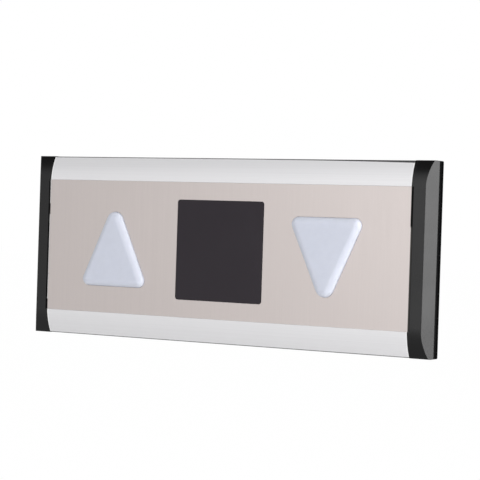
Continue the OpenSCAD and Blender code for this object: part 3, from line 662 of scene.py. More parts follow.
def nuts(centres, low, high, flats, bore):
    """Hexagon nuts along Y: h(a) = flats / 2 / cos((a mod 60) - 30) at the sides, cut to flats / 2 at both
    faces and to that plus 1.8 times the depth below them, with a small countersink in the bore"""
    sides, sink, slope = 60, 0.12, 1.8
    x, z = middles(centres)
    a = np.linspace(0, 2 * math.pi, sides, endpoint=False)
    hexagon = flats / 2 / np.cos(np.mod(a, math.pi / 3) - math.pi / 6)
    cut = sink * np.arange(3)
    outer_y = np.concatenate([low + cut, high - cut[::-1]])
    limit = flats / 2 + slope * np.minimum(outer_y - low, high - outer_y)
    outer = np.minimum(hexagon, limit[:, None])
    inner_y = [high, high - sink, low + sink, low]
    inner = bore / 2 + sink * np.array([1, 0, 0, 1])
    r = np.concatenate([outer, np.repeat(inner[:, None], sides, 1)])
    y = np.concatenate([outer_y, inner_y])[:, None]
    return ringed(x + r * np.cos(a), y, z + r * np.sin(a), True)


def cap_lip(side, level, across):
    """Lip of an end cap over one rail: the rail's front c + (r + offset) * n(a), n being (-cos a, sin a),
    carried across the pairs (x, offset). It follows the front's arc, the rail's outer edge and the level
    face behind it. side is 1 for the right cap and -1 for the left; level is 1 for the upper rail"""
    arc_steps, edge_steps, back_steps, back_length = 26, 9, 7, 6.5
    low, high = corners("body_extrusion")
    radius, edge, lead = size("rail_radius"), size("rail_edge"), size("rail_lead")
    arc_middle = np.array([low[Y] + radius, corners("right_end_cap")[1][Z] - size("rail_height") - lead])
    edge_z = high[Z] - edge
    rise = math.asin((edge_z - arc_middle[1]) / (radius - edge))
    edge_middle = np.array([arc_middle[0] - (radius - edge) * math.cos(rise), edge_z])
    arc = np.linspace(math.asin(lead / radius), rise, arc_steps)
    bend = np.linspace(rise, math.pi / 2, edge_steps + 1)[1:]
    a = np.concatenate([arc, bend, np.full(back_steps, math.pi / 2)])[:, None]
    counts = (arc_steps, edge_steps, back_steps)
    middle = np.repeat([arc_middle, edge_middle, edge_middle], counts, 0)
    middle[-back_steps:, 0] += back_length * np.linspace(0, 1, back_steps + 1)[1:]
    x, offset = np.array(across).T
    r = np.repeat([radius, edge, edge], counts)[:, None] + offset
    return ringed(side * x, middle[:, :1] - r * np.cos(a), level * (middle[:, 1:] + r * np.sin(a)))


def ribbon(start, end, low, height):
    """Flat cable from x = start to x = end: ten lobes across, h(w) = 0.11 + 0.14 |sin(pi w)|, along a
    middle line low + 0.25 + height (S(x - a) - S(x - b)), S being a smooth step 1.5 mm long, with a 4 mm and
    b 5.5 mm from the ends"""
    half_width, thinnest, swell, foot, step_length = 5, 0.11, 0.14, 4.0, 1.5
    rows, columns = 60, 81
    x = np.linspace(start, end, rows)[:, None]
    sign = math.copysign(1, end - start)

    def step(at):
        """A smooth step along the cable"""
        t = np.clip((sign * (x - at)) / step_length, 0, 1)
        return t * t * (3 - 2 * t)

    raised = step(start + sign * foot) - step(end - sign * (foot + step_length))
    w = np.linspace(-half_width, half_width, columns)
    half = thinnest + swell * np.abs(np.sin(math.pi * w))
    lift = np.concatenate([half, -half[::-1]])
    y = low + thinnest + swell + height * raised + lift
    return ringed(x, y, np.concatenate([w, w[::-1]]))


def triangle_path(base, height, corner, tip, per_corner, per_side):
    """The arrow's outline c + r * n as centres c(s), outward directions n(s) and radii r(s). Round a corner
    c and r stay and n turns; along a side n stays and c and r move evenly to the next corner"""
    half = math.atan(2 * height / base) / 2
    lean = math.pi / 2 - 2 * half
    radii = np.array([corner, corner, tip])
    out = base / 2 - corner / math.tan(half)
    centres = np.array([[-out, corner], [out, corner], [0, height - tip / math.sin(lean)]])
    starts = np.array([math.pi - lean, -math.pi / 2, lean])
    ends = np.array([3 * math.pi / 2, lean, math.pi - lean])
    turns = starts[:, None] + (ends - starts)[:, None] * np.linspace(0, 1, per_corner)
    u = np.linspace(0, 1, per_side + 2)[1:-1]
    side_centres = centres[:, None] + (np.roll(centres, -1, 0) - centres)[:, None] * u[:, None]
    side_radii = radii[:, None] + (np.roll(radii, -1) - radii)[:, None] * u
    c = np.concatenate([np.repeat(centres[:, None], per_corner, 1), side_centres], 1).reshape(-1, 2)
    a = np.concatenate([turns, np.repeat(ends[:, None], per_side, 1)], 1).reshape(-1)
    r = np.concatenate([np.repeat(radii[:, None], per_corner, 1), side_radii], 1).reshape(-1)
    return c, np.stack([np.cos(a), np.sin(a)], -1), r


def arrow_lens(name, node, upright, material):
    """Lens: the outline c(s) + (r(s) - inset) * n(s) carried through rings of inset and depth, with a
    smaller ring within both flat faces. On the bevel inset = bevel * (1 - cos(t) ** (2 / k)) and
    height = side + (rise - side) * sin(t) ** (2 / k), k being its roundness"""
    bevel_steps, corner_steps, side_steps = 22, 14, 10
    recess_inset, recess_depth, within = 2.4, 0.8, 0.94
    low, high = corners(node)
    front_of_plate, rear_of_plate = (corner[Y] for corner in corners("faceplate"))
    side, flange, height = size("lens_side"), size("flange_width"), size("arrow_height")
    rise = front_of_plate - low[Y]
    exponent = 2 / sizes().lens_roundness
    t = np.linspace(0, math.pi / 2, bevel_steps)
    inset = size("lens_bevel") * (1 - np.cos(t) ** exponent)
    depth = front_of_plate - (side + (rise - side) * np.sin(t) ** exponent)
    below = [
        (0, front_of_plate),
        (0, rear_of_plate),
        (-flange, rear_of_plate),
        (-flange, high[Y]),
        (recess_inset, high[Y]),
        (recess_inset, front_of_plate - recess_depth),
    ]
    inset, depth = np.concatenate([np.stack([inset, depth], -1)[::-1], below]).T
    corner, tip = size("arrow_corner"), size("arrow_tip")
    c, n, r = triangle_path(size("arrow_base"), height, corner, tip, corner_steps, side_steps)
    outline = c + (r - inset[:, None])[..., None] * n
    middle = np.array([0, height / 3])
    front, rear = (middle + within * (outline[i] - middle) for i in (0, -1))
    outline = np.concatenate([front[None], outline, rear[None]])
    depth = np.concatenate([depth[:1], depth, depth[-1:]])[:, None]
    x, base_z = arrow_at(node, upright)
    sign = 1 if upright else -1
    lens = ringed(x + outline[..., 0], depth, base_z + sign * outline[..., 1])
    joined(name, [lens], material, "arrow_lens", 35, "housing", node)


# Layout of the boards, in millimetres, seen from the front


def row(middle, count, pitch):
    """Places of a row of things at a pitch about a middle"""
    return middle + (np.arange(count) - (count - 1) / 2) * pitch


def column(x, z):
    """Points (n, 2) from an x and a z, either of which may be one number"""
    return np.stack(np.broadcast_arrays(np.asarray(x, float), np.asarray(z, float)), -1).reshape(-1, 2)


# Parts on the display board; a reach is the distance from a part's middle to where its tracks start
DRIVER_MIDDLE_X = 10.0
DRIVER_X = row(DRIVER_MIDDLE_X, 8, 1.27)
DRIVER_Z = (19.0, 8.0)
DRIVER_REACH = 3.4
CONTROLLER = np.array([-9.0, 14.0])
LEAD_X, LEAD_Z = (row(middle, 8, 1.0) for middle in CONTROLLER)
CONTROLLER_REACH = 5.4
PIN_PITCH = 2.54
PIN_X = row(0, 12, PIN_PITCH)
PIN_Z = 26.0
PIN_REACH = 25.6
HEADER = (-11.0, -9.0)
HEADER_X = row(HEADER[0], 4, 2.5)
SWITCH_X, SWITCH_MIDDLE_Z = 5.0, -9.0
SWITCH_Z = row(SWITCH_MIDDLE_Z, 4, PIN_PITCH)
SWITCH_REACH = 3.6
BUTTON = np.array([15.0, -9.0])
BUTTON_REACH = np.array([3.4, 2.2])
CAPACITORS = np.array([[-17.0, -20.0], [-10.0, -20.0]])
REGULATOR = np.array([-1.6, -20.0])
REGULATOR_LEAD_X = REGULATOR[0] + np.array([-2.3, 0, 2.3])
RESISTORS = column(DRIVER_X, 0.6)
CERAMICS = np.array([[17.6, 19.0], [17.6, 8.0], [-3.4, 5.6], [-17.4, 21.4], [0.2, 12.6]])
RIBBONS = ("left_link_ribbon", "right_link_ribbon")
WIRES = row(0, 10, 1.0)

# The display's four studs, and for each arrow two below its tip and two below its base
DISPLAY_STUD = (41.0, 35.0)
ARROW_STUD_X = 20.0
TIP_STUD_DROP = 16.6
BASE_STUD_DROP = 8.3

# Lamps behind each arrow
LAMP_ROWS = 4
LAMP_PITCH = np.array([9.0, 10.0])
FIRST_LAMP_Z = 8

# A shift that keeps the middle run of a straight route from having no length
NUDGE = np.array([0.001, 0.0])

# Diameter and thread pitch of the studs, and width across flats and bore of the nuts
STUD = (3.0, 0.5)
NUT = (5.5, 3.2)
EARTH_STUD = (4.0, 0.7)
EARTH_NUT = (7.0, 4.2)


def arrow_at(node, upright):
    """Middle and base line of an arrow, from its lens"""
    low, high = corners(node)
    flange = size("flange_width")
    base = low[Z] + flange if upright else high[Z] - flange
    return (low[X] + high[X]) / 2, base


def arrow_places(offsets):
    """Points (2n, 2) on both arrow boards from offsets (n, 2) from an upright arrow's base line"""
    up = np.array(arrow_at("up_arrow_lens", True)) + offsets
    down = np.array(arrow_at("down_arrow_lens", False)) - offsets
    return np.concatenate([up, down])


def stud_places():
    """Points (12, 2) of the faceplate's studs"""
    height = size("arrow_height")
    sides = np.array([(-1, -1), (-1, 1), (1, -1), (1, 1)])
    levels = (height - TIP_STUD_DROP, -BASE_STUD_DROP)
    offsets = [(side * ARROW_STUD_X, level) for level in levels for side in (-1, 1)]
    return np.concatenate([sides * DISPLAY_STUD, arrow_places(np.array(offsets))])


def lamp_offsets():
    """Offsets (n, 2) of an arrow's lamps: rows that get one shorter towards the tip"""
    across, up = LAMP_PITCH
    rows = [column(row(0, LAMP_ROWS + 1 - i, across), FIRST_LAMP_Z + i * up) for i in range(LAMP_ROWS)]
    return np.concatenate(rows)


def at_depth(points, depth):
    """Points (n, 3) at one depth from points (n, 2) in X and Z"""
    return np.insert(np.asarray(points, float), 1, depth, axis=1)


def board_rear():
    """Depth of the display board's rear surface"""
    return corners("display_board")[1][Y]


def board_front():
    """Depth of the display board's front surface"""
    return corners("display_board")[0][Y]


def on_board(points, lift=0.0):
    """Points (n, 3) on the board's rear surface from points (n, 2)"""
    return at_depth(points, board_rear() + lift)


def bent(starts, ends, axis=1, share=0.5):
    """Routes that leave along one axis, cross at 45 degrees about a share of the way, and arrive along it"""
    starts, ends = np.asarray(starts, float), np.asarray(ends, float)
    way = ends[:, axis] - starts[:, axis]
    half_cross = np.abs(ends[:, 1 - axis] - starts[:, 1 - axis]) / 2 * np.sign(way)
    middle = starts[:, axis] + way * share
    first, second = starts.copy(), ends.copy()
    first[:, axis] = middle - half_cross
    second[:, axis] = middle + half_cross
    return np.stack([starts, first, second, ends], 1)


class Layout:
    """Where the display board's fine tracks, its vias and its wide tracks run"""

    def __init__(self):
        self.fine = []
        self.vias = []
        self.from_drivers()
        self.from_controller()
        self.from_switches()
        self.from_ribbons()
        self.vias = np.concatenate(self.vias)
        self.wide = [
            bent(column(HEADER_X[[0, 1]], -14.2), CAPACITORS + [0, 2.8]),
            bent([[HEADER_X[3], -14.2]], [[REGULATOR[0] - 2.4, -16.4]], axis=0),
            bent([CAPACITORS[1] - [0, 2.9]], [[REGULATOR_LEAD_X[0], -24.3]], axis=0, share=0.6),
        ]

    def run(self, starts, ends, axis=1, share=0.5):
        """Adds bent fine tracks"""
        self.fine.append(bent(starts, ends, axis, share))

    def run_to_vias(self, starts, vias, axis=1, share=0.5, nudge=0.0):
        """Adds bent fine tracks and the vias at their ends"""
        self.run(starts, vias + nudge, axis, share)
        self.vias.append(vias)

    def from_drivers(self):
        """From the two driver chips to the module's pins, to each other and to the resistors"""
        upper, lower = DRIVER_Z
        reach = DRIVER_REACH
        top = upper + reach
        self.run(column(DRIVER_X[[0, 1, 3, 5, 7]], top), column(PIN_X[7:], PIN_REACH))
        via_x, via_z = DRIVER_X[[2, 4, 6]] - 0.47, 24.4
        self.run_to_vias(column(DRIVER_X[[2, 4, 6]], top), column(via_x, via_z))
        self.run(column(DRIVER_X, upper - reach), column(DRIVER_X, lower + reach) - NUDGE)
        self.run(column(DRIVER_X, lower - reach), RESISTORS + [0, 0.6] + NUDGE)
        low_vias = column(DRIVER_X, [-1.5, -2.5] * 4)
        self.run_to_vias(RESISTORS - [0, 0.6], low_vias, nudge=NUDGE)

    def from_controller(self):
        """From the controller's four sides to the pins, the drivers, the address switch and the header"""
        left, bottom = CONTROLLER - CONTROLLER_REACH
        right, top = CONTROLLER + CONTROLLER_REACH
        self.run(column(LEAD_X[[0, 1, 3, 5, 7]], top), column(PIN_X[:5], PIN_REACH))
        self.run_to_vias(column(LEAD_X[[2, 4, 6]], top), column(PIN_X[1:4] + PIN_PITCH / 2, 24.0))
        bus_z = [6.5, 7.5, 8.5, 9.5, 18.5, 19.5, 20.5, 21.5]
        self.run_to_vias(column(right, LEAD_Z), column([3.3, 2.3] * 4, bus_z), axis=0, share=0.45)
        side_vias = column([-18.2, -19.1] * 2, LEAD_Z[4:] + 1.4)
        self.run_to_vias(column(left, LEAD_Z[4:]), side_vias, axis=0)
        fall_x, turn, level = -17.1 - 0.9 * np.arange(4), 0.8, LEAD_Z[:4]
        falls = column(fall_x, [1.6, 2.6, 1.6, 2.6])
        route = [column(left, level), column(fall_x + turn, level), column(fall_x, level - turn), falls]
        self.fine.append(np.stack(route, 1))
        self.vias.append(falls)
        start_x, drop_x = LEAD_X[4:], np.array([-3.1, -2.2, -1.3, -0.4])
        drop_z, turn = 5.0, 0.6
        route = [
            column(start_x, bottom),
            column(start_x, drop_z),
            column(drop_x, drop_z - (drop_x - start_x)),
            column(drop_x, SWITCH_Z + turn),
            column(drop_x + turn, SWITCH_Z),
            column(SWITCH_X - SWITCH_REACH, SWITCH_Z),
        ]
        self.fine.append(np.stack(route, 1))
        self.run(column(LEAD_X[[1, 2]], bottom), column(HEADER_X[[1, 2]], -5.6), share=0.4)
        self.run_to_vias(column(LEAD_X[[0, 3]], bottom), column(LEAD_X[[0, 3]], [5.4, 5.8]), nudge=NUDGE)

    def from_switches(self):
        """From the address switch, the lower row of pins and the setup button to vias"""
        switch_vias = column(SWITCH_X + 5.4, SWITCH_Z + 0.7)
        self.run_to_vias(column(SWITCH_X + SWITCH_REACH, SWITCH_Z), switch_vias, axis=0)
        foot_vias = column(PIN_X[7:] + 2.2, -16.4 - 0.9 * np.arange(5))
        self.run_to_vias(column(PIN_X[7:], -PIN_REACH), foot_vias, share=0.35)
        legs = np.array([[1, 1], [1, -1]])
        self.run_to_vias(BUTTON + legs * BUTTON_REACH, BUTTON + legs * [5.0, 3.6], axis=0)

    def from_ribbons(self):
        """From both ends of each link ribbon onto the board beyond it"""
        for node in RIBBONS:
            low, high = corners(node)
            for x, onward in ((low[X], -1), (high[X], 1)):
                vias = column(x + onward * np.array([7.5, 9.0] * 5), WIRES * 1.9)
                self.run_to_vias(column(x + onward * 0.5, WIRES), vias, axis=0)


# Operators


def pointing(azimuth, elevation):
    """The direction from the object at an azimuth from the front and an elevation"""
    level = math.cos(elevation)
    return Vector((math.sin(azimuth) * level, -math.cos(azimuth) * level, math.sin(elevation)))


def card(nodes, direction):
    """A dark card behind the right of the object: 0.04 towards it and 1 away from it"""
    to_card = (0.407, 0.914, 0.0)
    towards = nodes.add("VectorMath", [(0, direction), (1, to_card)], operation="DOT_PRODUCT")
    return nodes.spread(towards.outputs["Value"], 0.72, 0.93, 1.0, 0.04, "SMOOTHSTEP")


class INDICATOR_OT_stage(bpy.types.Operator):
    """Makes the camera, the lamps, the room and the floor"""

    bl_idname = "indicator.stage"
    bl_label = "Stage"

    def execute(self, context):
        stage = context.scene.indicator_stage
        self.camera(context, stage)
        self.lamps(context)
        self.room(context, stage)
        self.floor(stage)
        return {"FINISHED"}

    def camera(self, context, stage):
        """The camera of the photograph's view"""
        back = pointing(stage.azimuth, stage.elevation)
        right = Vector((math.cos(stage.azimuth), math.sin(stage.azimuth), 0))
        up = back.cross(right)
        turned_right = right * math.cos(stage.roll) + up * math.sin(stage.roll)
        turned_up = up * math.cos(stage.roll) - right * math.sin(stage.roll)
        at = back * stage.distance + right * stage.aim[0] + up * stage.aim[1] - Vector((0, stage.front, 0))
        data = bpy.data.cameras.new("camera")
        data.sensor_width = 36
        data.lens = stage.lens
        data.clip_start, data.clip_end = 0.01, 100
        camera = bpy.data.objects.new("camera", data)
        context.scene.collection.objects.link(camera)
        columns = (turned_right, turned_up, back, at)
        camera.matrix_world = Matrix([[v[i] for v in columns] for i in range(3)] + [[0, 0, 0, 1]])
        context.scene.camera = camera

    def lamps(self, context):
        """Soft boxes: name, azimuth, elevation, distance, width, height, radiance"""
        boxes = (
            ("side_box", 76, 14, 1.25, 0.8, 1.05, 5.35),
            ("front_box", -14, 12, 2.2, 1.0, 1.8, 0.9),
        )
        for name, azimuth, elevation, distance, width, height, radiance in boxes:
            data = bpy.data.lights.new(name, "AREA")
            data.shape = "RECTANGLE"
            data.size, data.size_y = width, height
            data.energy = radiance * math.pi * width * height
            lamp = bpy.data.objects.new(name, data)
            context.scene.collection.objects.link(lamp)
            out = pointing(math.radians(azimuth), math.radians(elevation))
            lamp.location = out * distance
            lamp.rotation_mode = "QUATERNION"
            lamp.rotation_quaternion = out.to_track_quat("Z", "Y")

    def room(self, context, stage):
        """A white surround: white to the camera, and darker overhead in reflections"""
        world = bpy.data.worlds.new("room")
        world.use_nodes = True
        world.cycles.sampling_method = "NONE"
        nodes = Nodes(world.node_tree)
        direction = nodes.add("TexCoord").outputs["Generated"]
        height = nodes.add("SeparateXYZ", [(0, direction)]).outputs["Z"]
        overhead = nodes.spread(height, 0.25, 0.55, 0.85, 0.12, "SMOOTHSTEP")
        mirrored = nodes.times(overhead, card(nodes, direction))
        ray = nodes.add("LightPath").outputs
        level = nodes.choose(ray["Is Glossy Ray"], stage.surround, mirrored)
        level = nodes.choose(ray["Is Transmission Ray"], level, 1.0)
        level = nodes.choose(ray["Is Camera Ray"], level, 1.0)
        background = world.node_tree.nodes["Background"]
        nodes.feed(background.inputs["Color"], (1, 1, 1))
        nodes.feed(background.inputs["Strength"], level)
        context.scene.world = world

    def floor(self, stage):
        """Pale floor, white to the camera apart from the object's soft shadow"""
        reach, lines = 12.0, 9
        u = np.linspace(-reach, reach, lines)
        points = np.insert(column(u[:, None], u), Z, -stage.floor_drop, axis=1)
        floor = mesh_piece("floor", points, grid_faces(lines, lines, False).tolist())
        f = Finish("floor_white", (0.92, 0.92, 0.92), 0.9)
        place = f.add("TexCoord").outputs["Object"]
        outward = f.add("VectorMath", [(0, place)], operation="NORMALIZE").outputs["Vector"]
        away = f.add("VectorMath", [(0, place)], operation="LENGTH").outputs["Value"]
        dim = f.times(card(f, outward), f.spread(away, 0.3, 1.6, 0.45, 0.9))
        ray = f.add("LightPath").outputs
        glow = f.add("Emission", [("Strength", f.choose(ray["Is Camera Ray"], dim, 1.01))])
        share = f.times(f.math("MAXIMUM", ray["Is Camera Ray"], ray["Is Glossy Ray"]), 0.97)
        mix = f.add("MixShader", [(0, share), (1, f.shader.outputs[0]), (2, glow.outputs[0])])
        f.feed(f.tree.nodes["Material Output"].inputs["Surface"], mix.outputs[0])
        wear(f.material, floor)


class INDICATOR_OT_housing(bpy.types.Operator):
    """Dresses the section, the faceplate, the window and the end caps"""

    bl_idname = "indicator.housing"
    bl_label = "Housing"

    def execute(self, context):
        dress(drawn_aluminium(), "body_extrusion")
        dress(brushed_steel(), "faceplate")
        dress(smoked(), "window_lens")
        dress(satin_black("cap_satin_black", colours().caps, 0.24, 0.22), "left_end_cap", "right_end_cap")
        return {"FINISHED"}


class INDICATOR_OT_lips(bpy.types.Operator):
    """Makes the thin lips of the end caps, which lap over the rails"""

    bl_idname = "indicator.lips"
    bl_label = "Cap lips"

    def execute(self, context):
        cap_gap, clear, proud = 0.3, 0.06, 0.18
        outer = corners("body_extrusion")[1][X] + cap_gap
        inner = outer - size("cap_lip")
        across = [
            (inner, clear),
            (inner, 0.12),
            (inner + 0.08, proud),
            (outer - 0.12, proud),
            (outer, 0.1),
            (outer, clear),
        ]
        for side, body in ((1, "right_cap"), (-1, "left_cap")):
            parts = [cap_lip(side, level, across) for level in (1, -1)]
            joined(body + "_lips", parts, "cap_satin_black", "cap_plastic", 30, body)
        return {"FINISHED"}


class INDICATOR_OT_lenses(bpy.types.Operator):
    """Makes the two smooth arrow lenses"""

    bl_idname = "indicator.lenses"
    bl_label = "Arrow lenses"

    def execute(self, context):
        material = opal()
        arrow_lens("up_lens_smooth", "up_arrow_lens", True, material)
        arrow_lens("down_lens_smooth", "down_arrow_lens", False, material)
        return {"FINISHED"}


class INDICATOR_OT_wall_plate(bpy.types.Operator):
    """Dresses the wall plate, its earth stud and the faceplate's studs, with their washers and nuts"""

    bl_idname = "indicator.wall_plate"
    bl_label = "Wall plate"

    def execute(self, context):
        dress(galvanised(), "wall_plate")
        bright = plated("zinc_bright", (0.66, 0.67, 0.68), 0.28)
        dress(bright, "earth_stud", "earth_washer", "stud_washers", "stud_nuts", "faceplate_studs")
        dress(plated("brass_plain", (0.72, 0.55, 0.26)), "earth_nut")
        return {"FINISHED"}


class INDICATOR_OT_boards(bpy.types.Operator):
    """Dresses the boards, the lamps and the parts on the boards"""

    bl_idname = "indicator.boards"
    bl_label = "Boards"

    def execute(self, context):
        dress(circuit_board(), "display_board", "up_arrow_board", "down_arrow_board")
        white = moulded("white_moulded", (0.84, 0.84, 0.81), 0.42)
        dress(white, "up_light_box", "down_light_box", "board_spacers", "wiring_header")
        dress(white, *[f"dip_slider_{i}" for i in range(1, 5)])
        dress(moulded("lamp_phosphor", (0.85, 0.80, 0.52), 0.35), "up_arrow_leds", "down_arrow_leds")
        dress(satin_black("inner_black", (0.018, 0.018, 0.019), 0.5, 0.3), "matrix_surround", "led_matrix")
        dress(dot_resin(), "matrix_dots")
        tinned = plated("tinned_metal", (0.70, 0.70, 0.69), 0.25)
        dress(tinned, "matrix_pins", "controller_leads", "driver_leads")
        dress(plated("pin_gold", (0.78, 0.62, 0.30), 0.25), "wiring_pins")
        dress(ribbon_wires(), *RIBBONS)
        epoxy = moulded("chip_epoxy", (0.016, 0.016, 0.017), 0.5, 7.0, 0.25)
        dress(epoxy, "controller_chip", "driver_chips", "setup_button_case")
        base_height, tab_height = 0.6, 1.2
        can_low = corners("smoothing_capacitors")[0][Y] + base_height
        dress(capacitor_can(can_low), "smoothing_capacitors")
        tab_low = corners("voltage_regulator")[1][Z] - tab_height
        dress(regulator_body(tab_low), "voltage_regulator")
        dress(moulded("switch_blue", (0.028, 0.085, 0.30), 0.4), "dip_switch_case")
        dress(moulded("button_red", (0.50, 0.06, 0.035), 0.4), "setup_button_plunger")
        return {"FINISHED"}


class INDICATOR_OT_hardware(bpy.types.Operator):
    """Cuts the threads of the studs and the chamfers of the nuts"""

    bl_idname = "indicator.hardware"
    bl_label = "Studs and nuts"

    def execute(self, context):
        studs = stud_places()
        low, high = corners("earth_stud")
        earth = [(low + high)[[X, Z]] / 2]
        zinc, brass = ("zinc_bright", "zinc"), ("brass_plain", "brass")
        rows = (
            ("threaded_studs", "faceplate_studs", threads, studs, STUD, zinc, 50, "housing"),
            ("chamfered_nuts", "stud_nuts", nuts, studs, NUT, zinc, 25, "housing"),
            ("threaded_earth_stud", "earth_stud", threads, earth, EARTH_STUD, zinc, 50, "mount"),
            ("chamfered_earth_nut", "earth_nut", nuts, earth, EARTH_NUT, brass, 25, "mount"),
        )
        for name, node, make, places, form, metal, smooth_angle, body in rows:
            low, high = corners(node)
            part = make(places, low[Y], high[Y], *form)
            joined(name, [part], *metal, smooth_angle, body, node)
        return {"FINISHED"}


class INDICATOR_OT_ribbons(bpy.types.Operator):
    """Makes the two link ribbons of ten wires each"""

    bl_idname = "indicator.ribbons"
    bl_label = "Link ribbons"

    def execute(self, context):
        rise = 1.2
        for node in RIBBONS:
            name = node.replace("link_ribbon", "ribbon_wires")
            low, high = corners(node)
            near, far = sorted((low[X], high[X]), key=abs)
            part = ribbon(near, far, low[Y], rise)
            joined(name, [part], "ribbon_grey", "ribbon", 60, "housing", node)
        return {"FINISHED"}


class INDICATOR_OT_tracks(bpy.types.Operator):
    """Lays the tracks and vias of the display board, and the tracks between the lamps of the arrow boards"""

    bl_idname = "indicator.tracks"
    bl_label = "Board tracks"

    def execute(self, context):
        layout = Layout()
        rear, front = board_rear(), board_front()
        # Width and rise of three kinds of track
        fine, wide, short = (0.34, 0.035), (1.1, 0.04), (0.8, -0.035)
        parts = [tracks(routes, *fine, rear) for routes in layout.fine]
        parts += [tracks(routes, *wide, rear) for routes in layout.wide]
        via_radius, via_sides = 0.36, 14
        ring = ((1, 0), (1, 0.05), (0.85, 0.07), (0.5, 0.07), (0.36, 0.045))
        parts.append(mounds(on_board(layout.vias), via_radius, via_radius, ring, 1.0, via_sides))
        lamps = lamp_offsets()
        first = lamps[:-1][np.diff(lamps[:, 1]) == 0]
        apart, clear = LAMP_PITCH[0], 2.2
        starts = arrow_places(first + [clear, 0])
        ends = arrow_places(first + [apart - clear, 0])
        parts.append(tracks(np.stack([starts, ends], 1), *short, front))
        joined("board_tracks", parts, track_mask(), "board")
        return {"FINISHED"}


class INDICATOR_OT_solder(bpy.types.Operator):
    """Solders the module's pins, the feet of the parts on the boards, the ribbons' wires and the lamps"""

    bl_idname = "indicator.solder"
    bl_label = "Solder joints"

    def execute(self, context):
        cone = ((0.92, 0), (0.92, 0.04), (0.74, 0.10), (0.56, 0.24), (0.42, 0.44), (0.33, 0.64))
        cone_sides, bead_sides = 20, 14
        pins = np.concatenate([column(PIN_X, PIN_Z), column(PIN_X, -PIN_Z)])
        parts = [mounds(on_board(pins), 1, 1, cone, 1.0, cone_sides)]
        t = np.linspace(0, 1.25, 6)
        bead = np.stack([np.cos(t), np.sin(t)], -1)

        def beads(places, half_x, half_z, rise):
            """Beads of solder over feet at the given places"""
            parts.append(mounds(on_board(places), half_x, half_z, bead * [1, rise], 0.7, bead_sides))

        # Distances of the feet from the middles of the parts, and places of the feet below
        controller_foot, driver_foot, capacitor_foot = 5.65, 3.65, 2.95
        resistor_foot, ceramic_foot, lamp_foot, ribbon_foot = 0.85, 1.15, 1.95, 0.3
        header_z, tab_z, regulator_lead_z = -14.0, -16.1, -24.5
        for side in (-1, 1):
            beads(column(LEAD_X, CONTROLLER[1] + side * controller_foot), 0.33, 0.55, 0.2)
            beads(column(CONTROLLER[0] + side * controller_foot, LEAD_Z), 0.55, 0.33, 0.2)
            for middle in DRIVER_Z:
                beads(column(DRIVER_X, middle + side * driver_foot), 0.36, 0.55, 0.2)
            beads(column(SWITCH_X + side * SWITCH_REACH, SWITCH_Z), 0.6, 0.42, 0.45)
            beads(BUTTON + np.array([[side, -1], [side, 1]]) * BUTTON_REACH, 0.6, 0.45, 0.4)
            beads(CAPACITORS + [0, side * capacitor_foot], 0.75, 0.5, 0.3)
            beads(RESISTORS + [0, side * resistor_foot], 0.42, 0.36, 0.28)
            beads(CERAMICS + [0, side * ceramic_foot], 0.68, 0.45, 0.4)
            lamps = at_depth(arrow_places(lamp_offsets() + [side * lamp_foot, 0]), board_front())
            parts.append(mounds(lamps, 0.55, 1.1, bead * [1, -0.3], 0.6, bead_sides))
        for node in RIBBONS:
            low, high = corners(node)
            for x in (low[X] - ribbon_foot, high[X] + ribbon_foot):
                beads(column(x, WIRES), 0.75, 0.34, 0.3)
        beads(column(HEADER_X, header_z), 0.5, 0.75, 0.5)
        beads([(REGULATOR[0], tab_z)], 2.95, 1.0, 0.25)
        beads(column(REGULATOR_LEAD_X, regulator_lead_z), 0.55, 0.6, 0.3)
        joined("solder_joints", parts, solder(), "tinned")
        return {"FINISHED"}


class INDICATOR_OT_small_parts(bpy.types.Operator):
    """Sets the small resistors and capacitors on the display board, and the regulator's leads"""

    bl_idname = "indicator.small_parts"
    bl_label = "Small parts"

    def execute(self, context):
        tin = plated("tinned_end", (0.70, 0.70, 0.69), 0.25)
        black = moulded("resistor_black", (0.02, 0.02, 0.022), 0.4, 7.0, 0.3)
        tan = moulded("ceramic_tan", (0.42, 0.27, 0.16), 0.42, 5.0, 0.12)
        resistors, ceramics = on_board(RESISTORS, 0.24), on_board(CERAMICS, 0.5)
        # Half width and half height of the bodies and of their tinned ends
        resistor_half, resistor_end_half = (0.39, 0.21), (0.42, 0.235)
        ceramic_half, ceramic_end_half = (0.61, 0.42), (0.65, 0.46)
        body = ((-0.62, 0.05), (-0.57, 0), (0.57, 0), (0.62, 0.05))
        joined("resistor_bodies", [bars(resistors, body, *resistor_half)], black, "chip", 30)
        body = ((-0.82, 0.05), (-0.76, 0), (0.76, 0), (0.82, 0.05))
        joined("ceramic_bodies", [bars(ceramics, body, *ceramic_half)], tan, "capacitor", 30)
        resistor_end = np.array([(0.42, 0.03), (0.46, 0), (0.76, 0), (0.80, 0.04)])
        ceramic_end = np.array([(0.60, 0.03), (0.65, 0), (0.97, 0), (1.02, 0.05)])
        ends = []
        for side in (-1, 1):
            ends.append(bars(resistors, resistor_end[::side] * [side, 1], *resistor_end_half))
            ends.append(bars(ceramics, ceramic_end[::side] * [side, 1], *ceramic_end_half))
        joined("small_part_ends", ends, tin, "tinned", 30)
        self.regulator_leads(tin)
        return {"FINISHED"}

    def regulator_leads(self, material):
        """Three gull-wing leads: a strip's section carried down a path of (z, rise) to the board"""
        body_z, half_width, half_thickness = -22.9, 0.36, 0.12
        path = np.array([(0, 1.0), (-0.35, 1.0), (-0.62, 0.86), (-0.86, 0.34), (-1.1, 0.16), (-1.75, 0.16)])
        across = crosswise(np.gradient(path, axis=0))
        section_x = half_width * np.array([-1, 1, 1, -1])
        section_n = half_thickness * np.array([-1, -1, 1, 1])
        x = REGULATOR_LEAD_X[:, None, None] + section_x
        y = board_rear() + path[:, 1:] + across[:, 1:] * section_n
        z = body_z + path[:, :1] + across[:, :1] * section_n
        joined("regulator_leads", [ringed(x, y, z)], material, "tinned", 30)


